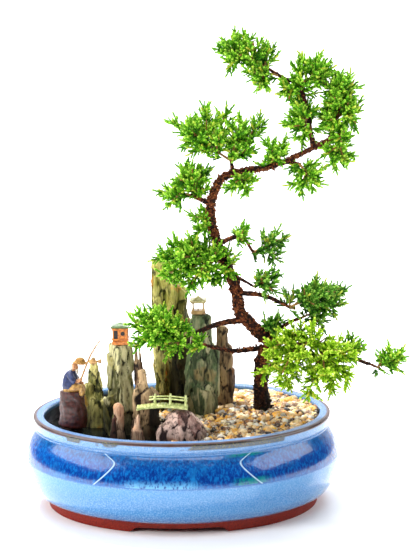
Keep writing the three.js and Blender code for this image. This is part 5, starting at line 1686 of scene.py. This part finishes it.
@dataclass
class Fisherman:
    """The seated fisherman of glazed clay on his rock, in coat, trousers and a wide straw hat."""

    seat: Point = (-99.0, -41.0, 86.6)
    rock_height: float = 33.0

    def _at(self, x: float, y: float, z: float) -> Vector:
        """A point measured from the middle of the rock's foot."""
        return at(self.seat[0] + x, self.seat[1] + y, self.seat[2] + z)

    def _tube(self, bm: bmesh.types.BMesh, points: Sequence[tuple[float, float, float, float]]) -> None:
        """Adds a rounded limb through points with radii."""
        cuts = smooth_line([self._at(x, y, z) for x, y, z, _ in points], 0.8 * MM)
        stations = []
        for place, share in cuts:
            index = min(int(share), len(points) - 2)
            part = share - index
            stations.append((place, (points[index][3] * (1 - part) + points[index + 1][3] * part) * MM))
        grow_tube(bm, stations, 12)

    def _rock(self, bm: bmesh.types.BMesh) -> None:
        """Adds the dark glazed rock that he sits on."""
        draw = random.Random(21)
        rings = 26
        stations = []
        for step in range(rings + 1):
            share = step / rings
            radius = 13.8 - 2.8 * share ** 1.5
            stations.append((self._at(0.6 * math.sin(5 * share), 0.5 * math.cos(4 * share), self.rock_height * share),
                             radius * MM))
        grow_tube(bm, stations, 44)
        for vertex in bm.verts:
            place = (vertex.co - HOME) / MM
            inward = Vector((place.x - self.seat[0], place.y - self.seat[1], 0)).normalized()
            cleft = noise.ridged_multi_fractal(Vector((place.x * 0.16, place.y * 0.16, place.z * 0.07)), 0.9, 2.0, 3, 1, 2)
            vertex.co += inward * (cleft * 0.35 - 0.6 + draw.uniform(-0.1, 0.1)) * 3.6 * MM
            vertex.co.y -= (vertex.co.y - self._at(0, 0, 0).y) * 0.1

    def _head(self, bm: bmesh.types.BMesh) -> None:
        """Adds the head with a small nose, brow, ears and neck."""
        add_ball(bm, self._at(3, -0.5, 55.6), (3.3, 3.2, 4.2))
        add_ball(bm, self._at(6.1, -1.3, 55.4), (0.8, 0.7, 1.0), 2)
        add_ball(bm, self._at(5.2, -1.2, 57.0), (1.1, 2.3, 0.5), 2)
        for side in (-1, 1):
            add_ball(bm, self._at(2.8, -0.5 + side * 3.1, 55.4), (0.8, 0.5, 1.2), 2)
        self._tube(bm, [(1, 0, 49, 2.4), (2.2, -0.3, 52, 2.0), (3, -0.5, 54, 1.9)])

    def _parts(self) -> list[tuple[FiguredClay | Straw, Any]]:
        """Each part's finish, with the method that adds its shapes."""
        return [
            (FiguredClay("figure_rock", (70, 26, 18), (14, 5, 4), 0.3), self._rock),
            (FiguredClay("figure_coat", (40, 54, 98), (14, 18, 44), 0.3), self._coat),
            (FiguredClay("figure_trousers", (196, 154, 84), (104, 64, 26), 0.34), self._trousers),
            (FiguredClay("figure_skin", (206, 150, 104), (120, 66, 36), 0.34), self._skin),
            (FiguredClay("figure_beard", (232, 224, 206), (146, 128, 104), 0.42), self._beard),
            (Straw("figure_hat", (190, 140, 58), (92, 56, 18)), self._hat),
            (FiguredClay("figure_shoes", (70, 44, 28), (26, 16, 10), 0.34), self._shoes),
        ]

    def _coat(self, bm: bmesh.types.BMesh) -> None:
        """Adds the coat: body, skirt, collar and sleeves."""
        stations = [(-1.5, 0, 34.5, 7.0), (-1.6, 0, 38, 7.6), (-1.2, 0, 43, 7.0), (-0.4, 0, 47, 6.4),
                    (0.4, 0, 50, 4.6), (1.2, 0, 52, 2.7)]
        self._tube(bm, stations)
        middle = self._at(0, 0, 0)
        for vertex in bm.verts:
            vertex.co.x += (vertex.co.x - middle.x) * 0.02
            fold = 0.35 * math.sin(math.atan2(vertex.co.y - middle.y, vertex.co.x - middle.x) * 9)
            vertex.co += Vector((vertex.co.x - middle.x, vertex.co.y - middle.y, 0)).normalized() * fold * MM * 0.8
        self._tube(bm, [(-1, -5, 49.5, 3.2), (1, -7.8, 46.5, 2.9), (3.2, -8.4, 44.2, 3.0), (4.2, -8.2, 43.8, 2.2)])
        self._tube(bm, [(-1, 5, 49.5, 3.2), (1.2, 6.2, 46, 2.9), (4.2, 4.6, 43, 3.0), (5.2, 3.8, 42.4, 2.2)])
        for turn in range(10):
            angle = math.tau * turn / 10
            add_ball(bm, self._at(1.4 + 2.6 * math.cos(angle), 2.7 * math.sin(angle), 51.4), (1.1, 1.1, 0.8), 2)

    def _trousers(self, bm: bmesh.types.BMesh) -> None:
        """Adds the belt and the two bent legs."""
        self._tube(bm, [(-1.5, 0, 32.8, 7.2), (-1.5, 0, 34.6, 7.5), (-1.4, 0, 36, 7.1)])
        for side in (-1, 1):
            self._tube(bm, [(-1, side * 3.4, 35.4, 4.2), (4, side * 4.6 - 1, 37.2, 3.9), (8.2, side * 4.2 - 1.6, 37.0, 3.3),
                            (9.6, side * 3.6 - 2, 33.4, 2.8), (9.2, side * 3.2 - 2.2, 30.2, 2.4)])

    def _skin(self, bm: bmesh.types.BMesh) -> None:
        """Adds the head, forearms and hands."""
        self._head(bm)
        self._tube(bm, [(4, -8.2, 43.9, 1.9), (6.6, -7.6, 43.6, 1.6), (8.6, -7.6, 44.6, 1.3)])
        self._tube(bm, [(5, 3.9, 42.5, 1.9), (7.6, 0.6, 41.2, 1.6), (9.2, -2.2, 41.0, 1.3)])
        for x, y, z in ((9.2, -7.7, 45.2), (9.8, -3.0, 41.2)):
            add_ball(bm, self._at(x, y, z), (1.7, 1.5, 1.4), 2)
            for finger in range(4):
                add_ball(bm, self._at(x + 1.1, y - 0.9 + 0.6 * finger, z + 0.5), (0.8, 0.35, 0.5), 1)

    def _beard(self, bm: bmesh.types.BMesh) -> None:
        """Adds beard, whiskers and hair as tapering locks."""
        for lock in range(7):
            spread = (lock - 3) / 3
            self._tube(bm, [(5.6 - abs(spread), -1 + 1.9 * spread, 53.6, 0.9), (6.2 - abs(spread), -1.2 + 1.5 * spread, 51.4, 0.85),
                            (5.4, -1.4 + 0.9 * spread, 48.6 + abs(spread), 0.35)])
        for side in (-1, 1):
            self._tube(bm, [(6.4, -1.3, 54.5, 0.5), (6.3, -1.3 + side * 1.4, 54.2, 0.5), (5.8, -1.3 + side * 2.2, 53.2, 0.25)])
        add_ball(bm, self._at(0.9, -0.3, 55.4), (2.6, 3.1, 3.6), 2)

    def _hat(self, bm: bmesh.types.BMesh) -> None:
        """Adds the wide straw hat, turned from a profile."""
        profile = [(0.0, 64.9), (2.2, 64.6), (3.9, 63.5), (4.7, 61.6), (5.3, 60.7), (6.5, 60.1), (6.8, 59.8), (6.3, 59.5),
                   (4.2, 59.7), (0.0, 60.1)]
        verts = [bm.verts.new((radius * MM, 0, z * MM)) for radius, z in profile]
        edges = [bm.edges.new(pair) for pair in zip(verts, verts[1:])]
        bmesh.ops.spin(bm, geom=[*verts, *edges], axis=UP, cent=(0, 0, 0), angle=math.tau, steps=40, use_merge=True)
        bmesh.ops.remove_doubles(bm, verts=bm.verts[:], dist=0.01 * MM)
        for vertex in bm.verts:
            turn = math.atan2(vertex.co.y, vertex.co.x)
            reach = math.hypot(vertex.co.x, vertex.co.y) / MM
            vertex.co.z += (0.35 * math.sin(2 * turn + 0.6) * (reach / 7.4) ** 2 + 0.08 * math.cos(40 * reach / 7.4)) * MM
        put = Matrix.Translation(self._at(2.2, -0.3, -0.1)) @ Matrix.Rotation(0.1, 4, "Y")
        bmesh.ops.transform(bm, matrix=put, verts=bm.verts[:])
        bmesh.ops.recalc_face_normals(bm, faces=bm.faces[:])

    def _shoes(self, bm: bmesh.types.BMesh) -> None:
        """Adds the shoes."""
        for side in (-1, 1):
            add_ball(bm, self._at(9.6, side * 3.2 - 2.2, 28.9), (2.6, 1.5, 1.3), 2)

    def build(self) -> None:
        """Makes the figure."""
        whole = bmesh.new()
        materials = []
        for number, (finish, add) in enumerate(self._parts()):
            bm = bmesh.new()
            add(bm)
            bmesh.ops.recalc_face_normals(bm, faces=bm.faces[:])
            for face in bm.faces:
                face.material_index = number
            mesh = mesh_of("part", bm, True)
            whole.from_mesh(mesh)
            bpy.data.meshes.remove(mesh)
            materials.append(finish.build())
        dress("fisherman_figure", mesh_of("fisherman_figure", whole, True), materials, ["fisherman"])


@dataclass
class Tackle:
    """The bamboo rod, and the fish on its short stiff line."""

    rod: tuple[tuple[float, float, float, float], ...] = (
        (-89.6, -48.8, 132.2, 0.95), (-80, -50.5, 155, 0.8), (-71, -52, 169, 0.6))
    fish: Point = (-77.5, -52.0, 149.5)
    line: tuple[Point, ...] = ((-77.5, -52, 151.5), (-77, -52, 155.5), (-76.6, -52, 159.2))

    def _rod(self) -> None:
        """Makes the rod with its knots."""
        bm = bmesh.new()
        cuts = smooth_line([at(x, y, z) for x, y, z, _ in self.rod], 0.6 * MM)
        stations = []
        for place, share in cuts:
            index = min(int(share), len(self.rod) - 2)
            radius = self.rod[index][3] + (self.rod[index + 1][3] - self.rod[index][3]) * (share - index)
            height = (place.z - cuts[0][0].z) / MM
            knot = 1 + 0.35 * max(0.0, math.cos(math.tau * height / 7.5)) ** 12
            stations.append((place, radius * knot * MM))
        grow_tube(bm, stations, 10)
        finish = Straw("bamboo", (190, 150, 96), (124, 80, 40), 0.9)
        dress("rod_bamboo", mesh_of("rod_bamboo", bm, True), [finish.build()], ["rod"])

    def _catch(self) -> None:
        """Makes the fish and its line."""
        bm = bmesh.new()
        x, y, z = self.fish
        add_ball(bm, at(x, y, z), (4.3, 1.7, 2.7), 4)
        nose = at(x - 4.3, y, z)
        for vertex in bm.verts:
            share = (vertex.co.x - nose.x) / (8.6 * MM)
            vertex.co.z = at(x, y, z).z + (vertex.co.z - at(x, y, z).z) * (1.1 - 0.45 * share)
            scale = 0.06 * math.sin(vertex.co.x / MM * 7) * math.sin(vertex.co.z / MM * 7)
            vertex.co.y += math.copysign(scale, vertex.co.y - at(x, y, z).y) * MM
        for tall, reach, place, tilt in ((2.6, 3.0, (5.4, 0, 0.3), 0.0), (1.5, 2.0, (0.2, 0, 2.9), 0.9),
                                         (1.2, 1.6, (0.4, 0, -2.6), -0.9)):
            fin = Matrix.Translation(at(x + place[0], y + place[1], z + place[2])) @ Matrix.Rotation(tilt, 4, "Y")
            fin = fin @ Matrix.Rotation(math.radians(-90), 4, "Y") @ Matrix.Diagonal((tall, 0.32, reach, 1))
            bmesh.ops.create_cone(bm, cap_ends=True, segments=8, radius1=MM, radius2=0.25 * MM, depth=1.6 * MM, matrix=fin)
        line = smooth_line([at(*point) for point in self.line], 1.0 * MM)
        grow_tube(bm, [(place, 0.33 * MM) for place, _ in line], 6)
        bmesh.ops.recalc_face_normals(bm, faces=bm.faces[:])
        finish = FiguredClay("catch_clay", (196, 152, 92), (112, 74, 36), 0.34)
        dress("catch_fish", mesh_of("catch_fish", bm, True), [finish.build()], ["catch"])

    def build(self) -> None:
        """Makes the rod and the catch."""
        self._rod()
        self._catch()


@dataclass
class Pavilion:
    """A small glazed pavilion: stepped plinth, walls or posts, and a ribbed roof with turned-up corners."""

    node: str
    slot: str
    body: FiguredClay
    roof: FiguredClay
    walled: bool

    def _roof(self, bm: bmesh.types.BMesh, middle: Vector, size: Vector) -> None:
        """Adds the roof, its ribs and its finial."""
        x, y, z = middle
        rise = size.z
        lofts = [(0.8, 0.60, 0.0), (1.0, 0.68, 0.07), (0.98, 0.72, 0.07), (0.66, 0.79, 0.01), (0.34, 0.87, 0.0),
                 (0.14, 0.93, 0.0), (0.1, 1.0, 0.0)]
        if self.walled:
            lofts = [(0.86, 0.76, 0.0), (0.98, 0.79, 0.03), (0.96, 0.82, 0.03), (0.8, 0.88, 0.0), (0.5, 0.93, 0.0),
                     (0.2, 0.96, 0.0), (0.1, 1.0, 0.0)]
        loops = []
        for scale, share, lift in lofts:
            put = Matrix.Translation((x, y, z + share * rise)) @ Matrix.Diagonal((size.x * scale, size.y * scale, 1, 1))
            loop = bmesh.ops.create_grid(bm, x_segments=4, y_segments=4, size=0.5, matrix=put)["verts"]
            for vertex in loop:
                corner = abs(vertex.co.x - x) / (size.x * scale / 2) * abs(vertex.co.y - y) / (size.y * scale / 2)
                vertex.co.z += lift * rise * corner ** 2
            faces = list({face for vertex in loop for face in vertex.link_faces})
            rim = [edge for edge in {edge for face in faces for edge in face.edges} if edge.is_boundary]
            loops.append((rim, faces))
        bmesh.ops.delete(bm, geom=[face for _, faces in loops[1:-1] for face in faces], context="FACES_ONLY")
        for (rim, _), (above, _) in zip(loops, loops[1:]):
            bmesh.ops.bridge_loops(bm, edges=[*rim, *above])
        loose = [edge for edge in bm.edges if not edge.link_faces]
        bmesh.ops.delete(bm, geom=loose, context="EDGES")
        for rib in () if self.walled else range(-3, 4):
            for side in (-1, 1):
                start = Vector((x + rib * size.x * 0.14, y + side * size.y * 0.48, z + 0.73 * rise))
                end = Vector((x + rib * size.x * 0.035, y + side * size.y * 0.1, z + 0.91 * rise))
                grow_tube(bm, [(start, 0.3 * MM), ((start + end) / 2 - UP * 0.02 * rise, 0.3 * MM), (end, 0.25 * MM)], 5)
        add_ball(bm, Vector((x, y, z + 0.97 * rise)), (1.0, 1.0, 0.75), 2)

    def _body(self, bm: bmesh.types.BMesh, middle: Vector, size: Vector) -> None:
        """Adds the plinth and what carries the roof."""
        x, y, z = middle
        wide, deep, tall = (value / MM for value in size)
        add_block(bm, Vector((x, y, z + 0.07 * size.z)), (wide * 0.84, deep * 0.84, tall * 0.16), 0.3)
        add_block(bm, Vector((x, y, z + 0.16 * size.z)), (wide * 0.74, deep * 0.74, tall * 0.1), 0.2)
        if self.walled:
            add_block(bm, Vector((x, y, z + 0.48 * size.z)), (wide * 0.8, deep * 0.8, tall * 0.6), 0.3)
            add_block(bm, Vector((x, y, z + 0.24 * size.z)), (wide * 0.88, deep * 0.88, tall * 0.07), 0.25)
            add_block(bm, Vector((x, y, z + 0.74 * size.z)), (wide * 0.88, deep * 0.88, tall * 0.07), 0.25)
            return
        for sx in (-1, 1):
            for sy in (-1, 1):
                foot = Vector((x + sx * size.x * 0.3, y + sy * size.y * 0.3, z + 0.2 * size.z))
                head = foot + UP * 0.46 * size.z
                grow_tube(bm, [(foot, 0.85 * MM), (foot + (head - foot) * 0.5, 0.7 * MM), (head, 0.85 * MM)], 10)
        for sx in (-1, 0, 1):
            add_block(bm, Vector((x + sx * size.x * 0.3, y - size.y * 0.34, z + 0.27 * size.z)),
                      (1.0, 0.7, tall * 0.14), 0.1)

    def _openings(self, bm: bmesh.types.BMesh, middle: Vector, size: Vector) -> None:
        """Adds the dark doorway and round windows, set in the walls, as dark blocks and discs that are painted shade
        for the openings.
        """
        x, y, z = middle
        wide, deep, tall = (value / MM for value in size)
        for side in (-1, 1):
            wall = y + side * size.y * 0.4
            add_block(bm, Vector((x - size.x * 0.22, wall, z + 0.47 * size.z)), (wide * 0.2, 0.7, tall * 0.38), 0.15)
            put = Matrix.Translation((x + size.x * 0.14, wall, z + 0.52 * size.z)) @ Matrix.Rotation(math.pi / 2, 4, "X")
            bmesh.ops.create_cone(bm, cap_ends=True, segments=20, radius1=wide * 0.11 * MM, radius2=wide * 0.11 * MM,
                                  depth=0.8 * MM, matrix=put)
            add_block(bm, Vector((x + side * size.x * 0.4, y, z + 0.5 * size.z)), (0.7, deep * 0.24, tall * 0.3), 0.15)

    def build(self) -> None:
        """Makes the pavilion."""
        low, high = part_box(self.node)
        size = high - low
        middle = Vector(((low.x + high.x) / 2, (low.y + high.y) / 2, low.z))
        adders = [(self.body, self._body), (self.roof, self._roof)]
        if self.walled:
            # The dark finish is painted shade for the doorway and windows.
            adders.append((FiguredClay(f"{self.node}_dark", (36, 22, 14), (12, 8, 6), 0.4), self._openings))
        whole = bmesh.new()
        materials = []
        for number, (finish, add) in enumerate(adders):
            bm = bmesh.new()
            add(bm, middle, size)
            bmesh.ops.recalc_face_normals(bm, faces=bm.faces[:])
            for face in bm.faces:
                face.material_index = number
            mesh = mesh_of("part", bm, False)
            whole.from_mesh(mesh)
            bpy.data.meshes.remove(mesh)
            materials.append(finish.build())
        name = f"{self.node}_glazed"
        dress(name, mesh_of(name, whole, False), materials, [self.node])


@dataclass
class Footbridge:
    """A small bowed footbridge with posts and rails, glazed cream."""

    place: Point = (-14.0, -74.0, 110.4)
    length: float = 46.0
    width: float = 11.0
    bow: float = 2.2
    planks: int = 15

    def _lift(self, share: float) -> float:
        """The deck's rise at a share of its length from -1 to 1."""
        return self.bow * (1 - share * share)

    def build(self) -> None:
        """Makes the bridge."""
        bm = bmesh.new()
        x0, y0, z0 = self.place
        for number in range(self.planks):
            share = 2 * (number + 0.5) / self.planks - 1
            middle = at(x0 + share * self.length / 2, y0, z0 + self._lift(share) + 1.8)
            add_block(bm, middle, (self.length / self.planks - 0.25, self.width, 1.5), 0.25)
        for side in (-1, 1):
            y = y0 + side * (self.width / 2 - 1)
            deck = []
            rail = []
            for step in range(13):
                share = 2 * step / 12 - 1
                deck.append((at(x0 + share * self.length / 2, y0 + side * (self.width / 2 - 1.6),
                                z0 + self._lift(share) + 0.8), 0.85 * MM))
                if step >= 3:
                    rail.append((at(x0 + share * self.length / 2, y, z0 + self._lift(share) + 8.7), 0.72 * MM))
            grow_tube(bm, deck, 8)
            grow_tube(bm, rail, 8)
            for spot in (-0.14, 0.16, 0.46):
                lift = self._lift(2 * spot)
                foot = at(x0 + spot * self.length, y, z0 + lift + 1.4)
                head = at(x0 + spot * self.length, y, z0 + lift + 11.2)
                grow_tube(bm, [(foot, 1.0 * MM), ((foot + head) / 2, 0.85 * MM), (head, 0.95 * MM)], 8)
        bmesh.ops.recalc_face_normals(bm, faces=bm.faces[:])
        finish = FiguredClay("bridge_cream", (206, 212, 140), (128, 142, 66), 0.24)
        dress("bridge_glazed", mesh_of("bridge_glazed", bm, True), [finish.build()], ["bridge"])


def dress_soil() -> None:
    """Gives the CAD soil its finish."""
    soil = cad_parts["soil"]
    soil.data.materials.clear()
    soil.data.materials.append(PottingSoil().build())


def build_rocks() -> None:
    """Makes all the rocks, with one material for each kind of stone."""
    finishes = {tone: Stone(tone, 0.7 if tone is StoneTone.MAUVE else 0.22).build() for tone in StoneTone}
    for rock in ROCKS:
        rock.build(finishes[rock.tone])


def build_foliage() -> None:
    """Makes all the sprays, with one leaf material for each kind of growth."""
    foliage = Foliage()
    foliage.prepare()
    twig = TwigBark().build()
    leaves = {growth: Leaves(growth).build() for growth in LeafLight}
    for number, spray in enumerate(SPRAYS):
        spray.build(foliage, [leaves[spray.growth], twig], 300 + number)


def main() -> None:
    """Builds the studio and then the bonsai, from the pot up."""
    logging.basicConfig(level=logging.INFO, format="%(message)s")
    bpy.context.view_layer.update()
    Studio().build()
    pot = Pot()
    pot.build()
    dress_soil()
    basin = Basin(pot)
    Pond(basin).build()
    GravelBed(basin).build()
    build_rocks()
    Trunk().build()
    build_foliage()
    Fisherman().build()
    Tackle().build()
    orange = FiguredClay("pavilion_orange", (222, 132, 44), (140, 62, 14), 0.26)
    green = FiguredClay("pavilion_green", (92, 120, 72), (36, 56, 32), 0.24)
    cream = FiguredClay("pavilion_cream", (224, 212, 164), (158, 138, 84), 0.26)
    tan = FiguredClay("pavilion_tan", (196, 160, 104), (112, 78, 42), 0.3)
    Pavilion("pavilion_left", "pavilion_orange", orange, green, True).build()
    Pavilion("pavilion_right", "pavilion_cream", tan, cream, False).build()
    Footbridge().build()
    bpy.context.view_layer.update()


if __name__ == "__main__":
    main()
